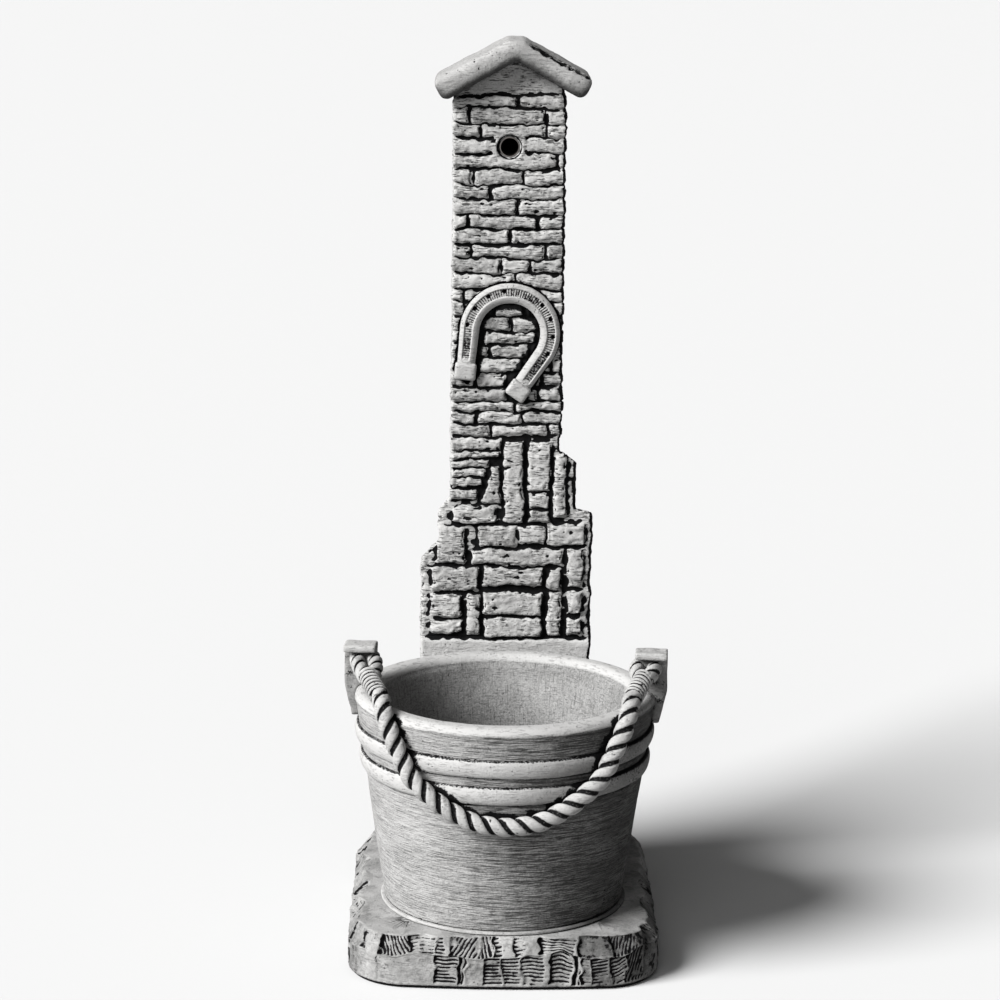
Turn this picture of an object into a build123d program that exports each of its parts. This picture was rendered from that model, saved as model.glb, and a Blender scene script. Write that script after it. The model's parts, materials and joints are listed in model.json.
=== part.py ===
from build123d import *
import os
from math import cos, hypot, radians, sin, tan

# Bucket fountain of cast stone: a hewn plinth carries a bucket basin and a stone-built column
# with a small roof. A pump in the bucket lifts the water through the column to the spout.
# Sizes are in millimetres, +Z is up, the front faces -Y, and the origin is at the bottom centre.

# Plinth
PLINTH_WIDTH = 335
PLINTH_HEIGHT = 55
PLINTH_REACH_FRONT = 150
PLINTH_MARGIN_BACK = 10
PLINTH_CORNER = 68
PLINTH_BOW = 12
PLINTH_SLOPE_RUN = 13
PLINTH_SLOPE_DROP = 17
PLINTH_UNDERCUT = 5

# Mortar beds under the bucket and the column
BED_THICK = 4
BED_PROUD = 2

# Bucket
BUCKET_BASE_RADIUS = 130
RIM_RADIUS = 163
BUCKET_HEIGHT = 231
BUCKET_WALL = 27
BUCKET_FLOOR = 25
BUCKET_COVE = 14
LIP_ROUND = 9
EAR_TURN = 4

# Half-round hoops, measured down from the rim
HOOP_PROUD = 5.5
HOOP_WIDTH = 20
UPPER_HOOP_DROP = 45
LOWER_HOOP_DROP = 75

# Ears that stand on the rim and hook forward over the rope
EAR_OVERHANG = 12
EAR_LENGTH = 35
EAR_WIDTH = 28
EAR_SLAB = 16
EAR_HEAD = 8
EAR_RISE = 46
EAR_CORNER = 3
EAR_LUG_TAPER = 8

# Rope
ROPE_RADIUS = 10
ROPE_CLEARANCE = 1.2
ROPE_BEND_SHARE = 0.45
ROPE_LEAD = 10
SWAG_DROP = 107
WHIPPING_RADIUS = 11
WHIPPING_RIB = 1.2
WHIPPING_RIBS = 8
EYE_LEG_RADIUS = 8.5
EYE_SPREAD = 9.5
EYE_INSET = 5

# Column: a stepped foot of rubble below, a shaft of thin courses above
COLUMN_GAP = 6
COLUMN_DEPTH = 80
COLUMN_PLAIN_HEIGHT = 240
RUBBLE_HEIGHT = 236
SHAFT_WIDTH = 125
STONE_RELIEF = 5
STONE_SIDE_RELIEF = 2.5
STONE_DRAFT = 14
STONE_JOINT = 3.2
COURSE_JOINT = 2.8
FOOT_SHED = 18

# Roof
ROOF_X = 6
ROOF_PITCH = 28
ROOF_UNDER_PITCH = 30
ROOF_RIDGE_RISE = 22
ROOF_RIDGE_WIDTH = 18
ROOF_REACH_LEFT = 92
ROOF_REACH_RIGHT = 86
ROOF_OVERHANG = 22
ROOF_EDGE_ROUND = 9
ROOF_FRONT_ROUND = 8
GABLE_RISE = 37

# Horseshoe, in its own frame: toe up, the heels below
SHOE_X = 2.5
SHOE_RISE = 116.5
SHOE_TURN = -20
SHOE_RADIUS = 45
SHOE_TOE_WIDTH = 22
SHOE_HEEL_WIDTH = 19.5
SHOE_HEEL_X = 31.5
SHOE_HEEL_DROP = 57
SHOE_THICK = 10.5
SHOE_GROOVE_WIDTH = 9
SHOE_GROOVE_DEPTH = 3
SHOE_GROOVE_STOP = 14
SHOE_CALKIN_LENGTH = 19
SHOE_CALKIN_WIDTH = 24
SHOE_CALKIN_THICK = 14
SHOE_NAIL_HOLE = 4
SHOE_CLEARANCE = 0.5
SHOE_ARC_END = -18
SHOE_NAIL_ANGLES = (-8, 16, 40, 62)

# Water pipe: spout, riser in a channel at the back, and inlet from the bucket
PIPE_OD = 22
PIPE_ID = 20
PIPE_FIT = 0.1
SPOUT_RISE = 323
SPOUT_MOUTH = 28
SPOUT_RECESS = 6
SPOUT_PATCH = 20
ELBOW_OD = 28
ELBOW_BEND = 15
ELBOW_SOCKET = 10
CHANNEL_WIDTH = 40
CHANNEL_SPARE = 0.5
CHANNEL_END = 10
RISER_FROM_BACK = 18
CLIP_THICK = 2
CLIP_WIDTH = 12
CLIP_TAB = 6
CLIP_RISES = (150, 480)
INLET_PROJECTION = 20
GROMMET_OD = 30
GROMMET_PROUD = 5

# Dowels
DOWEL_DIAMETER = 12
DOWEL_DEPTH = 40
DOWEL_SPREAD = 55
ROOF_DOWEL_DIAMETER = 10
ROOF_DOWEL_DEPTH = 12
DOWEL_FIT = 0.1

# Pump
PUMP_LENGTH = 56
PUMP_BODY_WIDTH = 40
PUMP_HEIGHT = 50
PUMP_CORNER = 5
PUMP_ROUND = 4
CHAMBER_RADIUS = 17
CHAMBER_DEPTH = 18
OUTLET_BORE = 14
OUTLET_BARB = 14
COVER_THICK = 11
COVER_FACE = 3
COVER_ROUND = 2
COVER_SLOT_WIDTH = 3.5
COVER_SLOT_PITCH = 9
COVER_SLOT_LENGTH = 11
COVER_SLOT_OFFSET = 15
FOOT_HEIGHT = 8
FOOT_RADIUS = 7
FOOT_DRAW = 18
GLAND_RADIUS = 6
GLAND_LENGTH = 9
GLAND_BORE = 3.5
SHAFT_RADIUS = 1.5
SHAFT_SEAT = 6
RUNNING_CLEARANCE = 0.06
IMPELLER_CLEARANCE = 1.2
IMPELLER_HUB = 5
IMPELLER_DISC = 3
IMPELLER_VANE = 1.8
IMPELLER_VANES = 6
IMPELLER_VANE_SETBACK = 1
DIAL_RADIUS = 9
DIAL_THICK = 4
DIAL_STEM = 3
DIAL_STEM_END = 2
DIAL_GRIP_WIDTH = 3
DIAL_GRIP_HEIGHT = 3
DIAL_FACE_GAP = 0.3

# Feed hose between the pump and the inlet pipe
HOSE_WALL = 3
HOSE_LAP = 12
HOSE_BRIDGE = 2.7
HOSE_CLIP_WIDTH = 9
HOSE_CLIP_THICK = 1.2
HOSE_CLIP_SCREW = 7

# Stone courses of the shaft from the lowest to the highest: height of the stones, and where the
# upright joints fall, as shares of half the shaft's width
COURSES = (
    (11.5, (-0.27, 0.75)),
    (11.0, (-0.53, 0.28)),
    (9.0, (0.16,)),
    (14.5, (0.06, 0.58)),
    (13.0, (-0.54, 0.02, 0.64)),
    (13.5, (-0.54, 0.28, 0.80)),
    (13.0, (-0.29, 0.42)),
    (11.5, (-0.42, 0.53)),
    (13.5, (0.08,)),
    (14.0, (-0.77, -0.24, 0.30)),
    (12.0, (-0.78,)),
    (13.5, (0.14,)),
    (14.0, (-0.12, 0.37)),
    (14.0, (-0.66, 0.66)),
    (13.5, (0.03,)),
    (13.0, (-0.72, 0.53)),
    (15.0, (0.17,)),
    (13.0, (-0.32,)),
    (14.0, (-0.62, 0.24)),
    (15.5, (0.85,)),
    (13.5, ()),
    (13.0, (-0.51, 0.64)),
    (14.0, (-0.69, 0.64)),
    (11.5, (0.13,)),
)

# Thin courses at the left of the rubble: right end, bottom and top, from the foot of the rubble
LOW_COURSES = (
    (-31, 163, 174), (-26, 177, 186), (-22, 188, 197), (-18, 199, 207), (-6, 209, 217), (-6, 219, 233),
)

# Rubble stones: left, right, bottom and top, from the column's middle and the foot of the rubble
RUBBLE = (
    (-2, 20.5, 138, 230), (25.5, 50, 172, 229), (25.5, 50, 153, 169), (26, 50, 138, 150),
    (54, 69, 143, 214), (-58, -10.5, 136, 153), (-76.5, -45, 88, 129), (-30.5, 14, 108, 133),
    (16, 45, 111, 131), (47, 90, 111, 135), (-38, 66, 86.5, 105), (72, 90, 60, 105),
    (-83, -29, 56.5, 83), (-24, 44, 63, 83), (49, 65, 56.5, 81), (49, 65, 3, 54),
    (-84, -49, 26, 51), (-42, -27, 5, 51), (-24, 43, 29, 56), (-22, 44, 3, 25),
    (-83, -47.5, 7, 21), (72, 88, 30, 55), (72, 88, 6, 23),
)
RUBBLE_WEDGE = ((-29, 156), (-6, 156), (-6, 200), (-15, 200))

# Foot outline: half widths at the front and the heights where each step starts and ends,
# from the foot of the rubble
FOOT_STEPS_LEFT = ((95, 95, 116), (75, 151, 167))
FOOT_STEPS_RIGHT = ((98, 148, 153), (79, 206, 219))

# Rope route from one side to the front: angle from the bucket's cross axis, stand-off from its
# wall in rope radii, and height above the rim as a share of the swag's drop
ROPE_ROUTE = (
    (36, -1.15, 0.1), (40, -0.58, 0.054), (43.7, 0.02, -0.05), (46.9, 0.19, -0.202),
    (53.8, 0.62, -0.522), (58.5, 0.58, -0.641), (64, 0.46, -0.757), (69.7, 0.2, -0.858),
    (78, 0.02, -0.962),
)
ROPE_LOWEST = (90, 0, -1)
WHIPPING_START = (17.5, -2, 0.235)
WHIPPING_END = (32, -1.6, 0.13)
EYE_HEIGHT = 28

# Heights worked out from the sizes above
BUCKET_BOTTOM = PLINTH_HEIGHT + BED_THICK
RIM_Z = BUCKET_BOTTOM + BUCKET_HEIGHT
WALL_SLOPE = (RIM_RADIUS - BUCKET_BASE_RADIUS) / BUCKET_HEIGHT
FLOOR_Z = BUCKET_BOTTOM + BUCKET_FLOOR
RUBBLE_Z = BUCKET_BOTTOM + COLUMN_PLAIN_HEIGHT
COURSES_Z = RUBBLE_Z + RUBBLE_HEIGHT
COURSES_TOP = COURSES_Z + sum(height + COURSE_JOINT for height, joints in COURSES)
SPOUT_Z = COURSES_Z + SPOUT_RISE
SHOE_Z = COURSES_Z + SHOE_RISE
GABLE_Z = COURSES_TOP + GABLE_RISE
PITCH_TAN = tan(radians(ROOF_PITCH))
UNDER_TAN = tan(radians(ROOF_UNDER_PITCH))
PUMP_Z = FLOOR_Z + FOOT_HEIGHT + PUMP_HEIGHT / 2
OUTLET_LIFT = CHAMBER_RADIUS - OUTLET_BORE / 2
INLET_Z = PUMP_Z + OUTLET_LIFT
CHANNEL_LOW = INLET_Z - ELBOW_OD / 2 - CHANNEL_END
CHANNEL_HIGH = SPOUT_Z + ELBOW_OD / 2 + CHANNEL_END
CHANNEL_DEPTH = RISER_FROM_BACK + ELBOW_BEND + ELBOW_SOCKET + CHANNEL_SPARE
EAR_OUTER = RIM_RADIUS + EAR_OVERHANG
EAR_INNER = EAR_OUTER - EAR_LENGTH
EYE_SEAT_RADIUS = (EAR_INNER + EAR_OUTER) / 2 - EYE_INSET


def wall_radius(height):
    """Outer radius of the bucket at a height."""
    return BUCKET_BASE_RADIUS + WALL_SLOPE * (height - BUCKET_BOTTOM)


# Depths, from the rope at the front to the plinth's back
SWAG_RADIUS = wall_radius(RIM_Z - SWAG_DROP) + ROPE_CLEARANCE + ROPE_RADIUS
FRONT_REACH = max(SWAG_RADIUS + ROPE_RADIUS, RIM_RADIUS)
DEPTH = FRONT_REACH + RIM_RADIUS + COLUMN_GAP + COLUMN_DEPTH + PLINTH_MARGIN_BACK
BUCKET_Y = FRONT_REACH - DEPTH / 2
COLUMN_FRONT = BUCKET_Y + RIM_RADIUS + COLUMN_GAP
COLUMN_CORE = COLUMN_FRONT + STONE_RELIEF
COLUMN_BACK = COLUMN_FRONT + COLUMN_DEPTH
RISER_Y = COLUMN_BACK - RISER_FROM_BACK
INNER_WALL_Y = BUCKET_Y + wall_radius(INLET_Z) - BUCKET_WALL
PUMP_REAR = INNER_WALL_Y - INLET_PROJECTION - HOSE_BRIDGE - OUTLET_BARB
PUMP_Y = PUMP_REAR - PUMP_LENGTH / 2
BUCKET_AXIS = Axis((0, BUCKET_Y, 0), (0, 0, 1))


def front_plane(depth):
    """Upright plane facing the viewer, with its X to the right and its Y up."""
    return Plane(origin=(0, depth, 0), x_dir=(1, 0, 0), z_dir=(0, -1, 0))


BUCKET_SECTION = front_plane(BUCKET_Y)


def bucket_point(side, angle, radius, rise):
    """Point round the bucket: side 1 is the right, and the angle runs from there to the front."""
    turn = radians(angle)
    return Vector(side * radius * cos(turn), BUCKET_Y - radius * sin(turn), RIM_Z + rise)


def ear_point(side, radius, rise):
    """Point on the middle line of an ear; the right ear stands a little forward, the left one back."""
    return bucket_point(side, side * EAR_TURN, radius, rise)


def rope_point(side, angle, standoff, climb):
    """Point on the rope's middle line, with its place taken from the bucket's wall and rim."""
    rise = climb * SWAG_DROP
    wall = wall_radius(RIM_Z + min(rise, 0))
    return bucket_point(side, angle, wall + ROPE_CLEARANCE + (1 + standoff) * ROPE_RADIUS, rise)


os.makedirs("parts", exist_ok=True)


# Plinth: a bowed slab with a sloped, hewn top edge and a small undercut
PLINTH_FRONT = BUCKET_Y - PLINTH_REACH_FRONT
PLINTH_BACK = COLUMN_BACK + PLINTH_MARGIN_BACK
HALF_PLINTH = PLINTH_WIDTH / 2
DOWEL_Y = (COLUMN_CORE + COLUMN_BACK) / 2
DOWEL_POINTS = [(-DOWEL_SPREAD, DOWEL_Y), (DOWEL_SPREAD, DOWEL_Y)]
with BuildPart() as plinth:
    with BuildSketch() as plinth_outline:
        with BuildLine():
            front_left = (-HALF_PLINTH, PLINTH_FRONT + PLINTH_BOW)
            front_right = (HALF_PLINTH, PLINTH_FRONT + PLINTH_BOW)
            ThreePointArc(front_left, (0, PLINTH_FRONT), front_right)
            Polyline(front_right, (HALF_PLINTH, PLINTH_BACK), (-HALF_PLINTH, PLINTH_BACK), front_left)
        make_face()
        fillet(plinth_outline.vertices(), PLINTH_CORNER)
    extrude(amount=PLINTH_HEIGHT)
    top = plinth.faces().sort_by(Axis.Z)[-1]
    chamfer(top.edges(), length=PLINTH_SLOPE_RUN, length2=PLINTH_SLOPE_DROP, reference=top)
    chamfer(plinth.faces().sort_by(Axis.Z)[0].edges(), length=PLINTH_UNDERCUT)
    with BuildSketch(Plane.XY.offset(PLINTH_HEIGHT)):
        with Locations(*DOWEL_POINTS):
            Circle(DOWEL_DIAMETER / 2 + DOWEL_FIT)
    extrude(amount=-DOWEL_DEPTH, mode=Mode.SUBTRACT)
plinth.part.label = "plinth"
export_step(plinth.part, "parts/plinth.step")

with BuildPart() as bucket_bed:
    with BuildSketch(Plane((0, BUCKET_Y, PLINTH_HEIGHT))):
        Circle(BUCKET_BASE_RADIUS + BED_PROUD)
    extrude(amount=BED_THICK)
bucket_bed.part.label = "bucket_bed"
export_step(bucket_bed.part, "parts/bucket_bed.step")


# Bucket: the full outer form first, because the ears are cut to it
with BuildPart() as bucket_form:
    with BuildSketch(BUCKET_SECTION) as form_profile:
        with BuildLine():
            Polyline(
                (0, BUCKET_BOTTOM), (BUCKET_BASE_RADIUS, BUCKET_BOTTOM), (RIM_RADIUS, RIM_Z), (0, RIM_Z),
                close=True,
            )
        make_face()
        fillet(form_profile.vertices().sort_by(Axis.X)[-1], LIP_ROUND)
    revolve(axis=BUCKET_AXIS)

RIM_INNER = RIM_RADIUS - BUCKET_WALL
FLOOR_RADIUS = wall_radius(FLOOR_Z) - BUCKET_WALL
with BuildPart() as bucket:
    add(bucket_form.part)
    with BuildSketch(BUCKET_SECTION) as hollow_profile:
        with BuildLine():
            Polyline((0, FLOOR_Z), (FLOOR_RADIUS, FLOOR_Z), (RIM_INNER, RIM_Z), (0, RIM_Z), close=True)
        make_face()
        fillet(hollow_profile.vertices().sort_by(Axis.Y)[:2].sort_by(Axis.X)[-1], BUCKET_COVE)
    revolve(axis=BUCKET_AXIS, mode=Mode.SUBTRACT)
    rim_circles = bucket.edges().filter_by(GeomType.CIRCLE).group_by(Axis.Z)[-1]
    fillet(rim_circles.sort_by(SortBy.RADIUS)[0], LIP_ROUND)
    with BuildSketch(front_plane(BUCKET_Y)):
        with Locations((0, INLET_Z)):
            Circle(GROMMET_OD / 2 + PIPE_FIT)
    extrude(amount=-RIM_RADIUS, mode=Mode.SUBTRACT)
bucket.part.label = "bucket"
export_step(bucket.part, "parts/bucket.step")


def make_hoop(name, drop):
    """Half-round hoop seated on the bucket's wall, centred at a drop below the rim."""
    middle = RIM_Z - drop
    low = middle - HOOP_WIDTH / 2
    high = middle + HOOP_WIDTH / 2
    with BuildPart() as hoop:
        with BuildSketch(BUCKET_SECTION):
            with BuildLine():
                foot = (wall_radius(low), low)
                head = (wall_radius(high), high)
                ThreePointArc(foot, (wall_radius(middle) + HOOP_PROUD, middle), head)
                Line(head, foot)
            make_face()
        revolve(axis=BUCKET_AXIS)
    hoop.part.label = name
    export_step(hoop.part, f"parts/{name}.step")


make_hoop("upper_hoop", UPPER_HOOP_DROP)
make_hoop("lower_hoop", LOWER_HOOP_DROP)


# Ears: a slab on the rim with a lug down the outside, and a head that hooks forward
FORWARD = Vector(-sin(radians(EAR_TURN)), -cos(radians(EAR_TURN)), 0)
EAR_BACK = -EAR_WIDTH / 2
EAR_SLAB_FACE = EAR_BACK + EAR_SLAB
EAR_TOP = RIM_Z + EAR_RISE
LUG_BOTTOM = RIM_Z - UPPER_HOOP_DROP + HOOP_WIDTH / 2
for name, side in (("left_ear", -1), ("right_ear", 1)):
    outward = (ear_point(side, 1, -RIM_Z) - Vector(0, BUCKET_Y, 0)).normalized()
    root = Vector(0, BUCKET_Y, 0) + outward * EAR_INNER
    ear_plane = Plane(origin=root, x_dir=FORWARD, z_dir=FORWARD.cross(Vector(0, 0, 1)))
    with BuildPart() as ear:
        with BuildSketch(ear_plane) as ear_profile:
            with BuildLine():
                Polyline(
                    (EAR_BACK, LUG_BOTTOM), (EAR_SLAB_FACE, LUG_BOTTOM),
                    (EAR_SLAB_FACE, EAR_TOP - EAR_HEAD), (-EAR_BACK, EAR_TOP - EAR_HEAD),
                    (-EAR_BACK, EAR_TOP), (EAR_BACK, EAR_TOP), close=True,
                )
            make_face()
            fillet(ear_profile.vertices().group_by(Axis.Y)[-1], EAR_CORNER)
        extrude(amount=-side * EAR_LENGTH)
        add(bucket_form.part, mode=Mode.SUBTRACT)
        lean = outward * (RIM_Z - LUG_BOTTOM) - Vector(0, 0, EAR_LUG_TAPER)
        hinge = root + outward * EAR_LENGTH + Vector(0, 0, RIM_Z)
        split(bisect_by=Plane(origin=hinge, z_dir=lean), keep=Keep.BOTTOM)
    ear.part.label = name
    export_step(ear.part, f"parts/{name}.step")


# Rope: a swag between two whippings, and an eye behind each whipping
def whipping_ends(side):
    """Start and end of the whipping on one side."""
    return rope_point(side, *WHIPPING_START), rope_point(side, *WHIPPING_END)


def corner_radius(before, corner, after):
    """Largest bend that leaves a little of each run straight."""
    run_in = corner - before
    run_out = after - corner
    turn = radians(run_in.get_angle(run_out))
    return ROPE_BEND_SHARE * min(run_in.length, run_out.length) / tan(turn / 2)


left_start, left_end = whipping_ends(-1)
right_start, right_end = whipping_ends(1)
left_lead = left_end + (left_end - left_start).normalized() * ROPE_LEAD
right_lead = right_end + (right_end - right_start).normalized() * ROPE_LEAD
swag_points = [left_end, left_lead] + [rope_point(-1, *place) for place in ROPE_ROUTE]
swag_points.append(rope_point(1, *ROPE_LOWEST))
swag_points += [rope_point(1, *place) for place in reversed(ROPE_ROUTE)] + [right_lead, right_end]
swag_corners = zip(swag_points[:-2], swag_points[1:-1], swag_points[2:])
swag_radii = [corner_radius(*corner) for corner in swag_corners]
with BuildPart() as rope_swag:
    with BuildLine() as swag_route:
        FilletPolyline(*swag_points, radius=swag_radii)
    with BuildSketch(Plane(origin=left_end, z_dir=swag_route.line % 0)):
        Circle(ROPE_RADIUS)
    sweep()
rope_swag.part.label = "rope_swag"
export_step(rope_swag.part, "parts/rope_swag.step")

with BuildPart() as rope_whippings:
    for side in (-1, 1):
        start, end = whipping_ends(side)
        along = (end - start).normalized()
        length = (end - start).length
        rib = length / WHIPPING_RIBS
        base = WHIPPING_RADIUS - WHIPPING_RIB
        with BuildSketch(Plane(origin=start, x_dir=along, z_dir=along.cross(Vector(0, 0, 1)))):
            outline = [(0, 0), (0, base)]
            for turn in range(WHIPPING_RIBS):
                outline += [((turn + 0.5) * rib, WHIPPING_RADIUS), ((turn + 1) * rib, base)]
            with BuildLine():
                Polyline(*outline, (length, 0), close=True)
            make_face()
        revolve(axis=Axis(start, along))
rope_whippings.part.label = "rope_whippings"
export_step(rope_whippings.part, "parts/rope_whippings.step")

with BuildPart() as rope_eyes:
    for side in (-1, 1):
        start, end = whipping_ends(side)
        along = (end - start).normalized()
        outward = (ear_point(side, 1, -RIM_Z) - Vector(0, BUCKET_Y, 0)).normalized()
        across = Vector(0, 0, 1).cross(along).normalized() * side
        seat = ear_point(side, EYE_SEAT_RADIUS, EYE_HEIGHT) + FORWARD * EAR_SLAB_FACE
        for leg in (-1, 1):
            leg_seat = Plane(origin=seat + outward * leg * EYE_SPREAD, x_dir=outward, z_dir=FORWARD)
            leg_end = Plane(origin=start + across * leg * EYE_SPREAD / 2, x_dir=across, z_dir=along)
            with BuildSketch(leg_seat):
                Circle(EYE_LEG_RADIUS)
            with BuildSketch(leg_end):
                Circle(EYE_LEG_RADIUS - WHIPPING_RIB)
            loft()
rope_eyes.part.label = "rope_eyes"
export_step(rope_eyes.part, "parts/rope_eyes.step")


# Horseshoe outline, used for the shoe, its groove and its pocket in the stones
def shoe_outline(toe_width, heel_width, heel_stop):
    """Closed face of the shoe's bow and branches round its middle line."""
    bow_out = SHOE_RADIUS + toe_width / 2
    bow_in = SHOE_RADIUS - toe_width / 2
    end = Vector(1, 0).rotate(Axis.Z, SHOE_ARC_END)
    heel = Vector(SHOE_HEEL_X, -SHOE_HEEL_DROP)
    branch = (heel - end * SHOE_RADIUS).normalized()
    side = Vector(-branch.Y, branch.X) * (heel_width / 2)
    stop = heel - branch * heel_stop
    right_out = end * bow_out
    right_in = end * bow_in
    with BuildLine() as outline:
        ThreePointArc(right_out, (0, bow_out), (-right_out.X, right_out.Y))
        ThreePointArc(right_in, (0, bow_in), (-right_in.X, right_in.Y))
        for sign in (1, -1):
            Polyline(
                (sign * right_out.X, right_out.Y), (sign * (stop + side).X, (stop + side).Y),
                (sign * (stop - side).X, (stop - side).Y), (sign * right_in.X, right_in.Y),
            )
    make_face(outline.edges())


SHOE_PLANE = Plane(
    origin=(SHOE_X, COLUMN_CORE, SHOE_Z),
    x_dir=(cos(radians(SHOE_TURN)), 0, sin(radians(SHOE_TURN))),
    z_dir=(0, -1, 0),
)
HEEL_BRANCH = Vector(SHOE_HEEL_X, -SHOE_HEEL_DROP) - Vector(SHOE_RADIUS, 0).rotate(Axis.Z, SHOE_ARC_END)
HEEL_ANGLE = Vector(0, -1).get_signed_angle(HEEL_BRANCH)


def shoe_calkins(spare):
    """The two heel blocks, each square to its branch, with spare room all round."""
    for sign in (1, -1):
        with Locations(Location((sign * SHOE_HEEL_X, -SHOE_HEEL_DROP), sign * HEEL_ANGLE)):
            Rectangle(SHOE_CALKIN_WIDTH + 2 * spare, SHOE_CALKIN_LENGTH + 2 * spare)


with BuildPart() as horseshoe:
    with BuildSketch(SHOE_PLANE):
        shoe_outline(SHOE_TOE_WIDTH, SHOE_HEEL_WIDTH, 0)
    extrude(amount=SHOE_THICK)
    with BuildSketch(SHOE_PLANE):
        shoe_calkins(0)
    extrude(amount=SHOE_CALKIN_THICK)
    with BuildSketch(SHOE_PLANE.offset(SHOE_THICK)):
        shoe_outline(SHOE_GROOVE_WIDTH, SHOE_GROOVE_WIDTH, SHOE_GROOVE_STOP)
    extrude(amount=-SHOE_GROOVE_DEPTH, mode=Mode.SUBTRACT)
    with BuildSketch(SHOE_PLANE):
        for angle in SHOE_NAIL_ANGLES:
            for place in (angle, 180 - angle):
                with Locations(Vector(SHOE_RADIUS, 0).rotate(Axis.Z, place)):
                    Circle(SHOE_NAIL_HOLE / 2)
    extrude(amount=SHOE_THICK, mode=Mode.SUBTRACT)
horseshoe.part.label = "horseshoe"
export_step(horseshoe.part, "parts/horseshoe.step")


# Column: foot and shaft in one casting, with the stones in relief
HALF_SHAFT = SHAFT_WIDTH / 2
HALF_CORE = HALF_SHAFT - STONE_SIDE_RELIEF
CORE_DEPTH = COLUMN_BACK - COLUMN_CORE
FOOT_LEFT = FOOT_STEPS_LEFT[0][0]
FOOT_RIGHT = FOOT_STEPS_RIGHT[0][0]


def foot_side(sign, steps, shaft_reach):
    """Outline points of one side of the foot, from the bottom up to the shaft."""
    points = []
    bottom = BUCKET_BOTTOM
    for width, step_low, step_high in steps:
        points += [(sign * width, bottom), (sign * width, RUBBLE_Z + step_low)]
        bottom = RUBBLE_Z + step_high
    points.append((sign * shaft_reach, bottom))
    return points


def stone(left, right, low, high):
    """One stone of the relief."""
    with Locations(((left + right) / 2, (low + high) / 2)):
        Rectangle(right - left, high - low)


def course_levels():
    """Bottom and top of each course of the shaft, with its upright joints."""
    low = COURSES_Z
    for height, joints in COURSES:
        yield low, low + height, joints
        low += height + COURSE_JOINT


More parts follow.
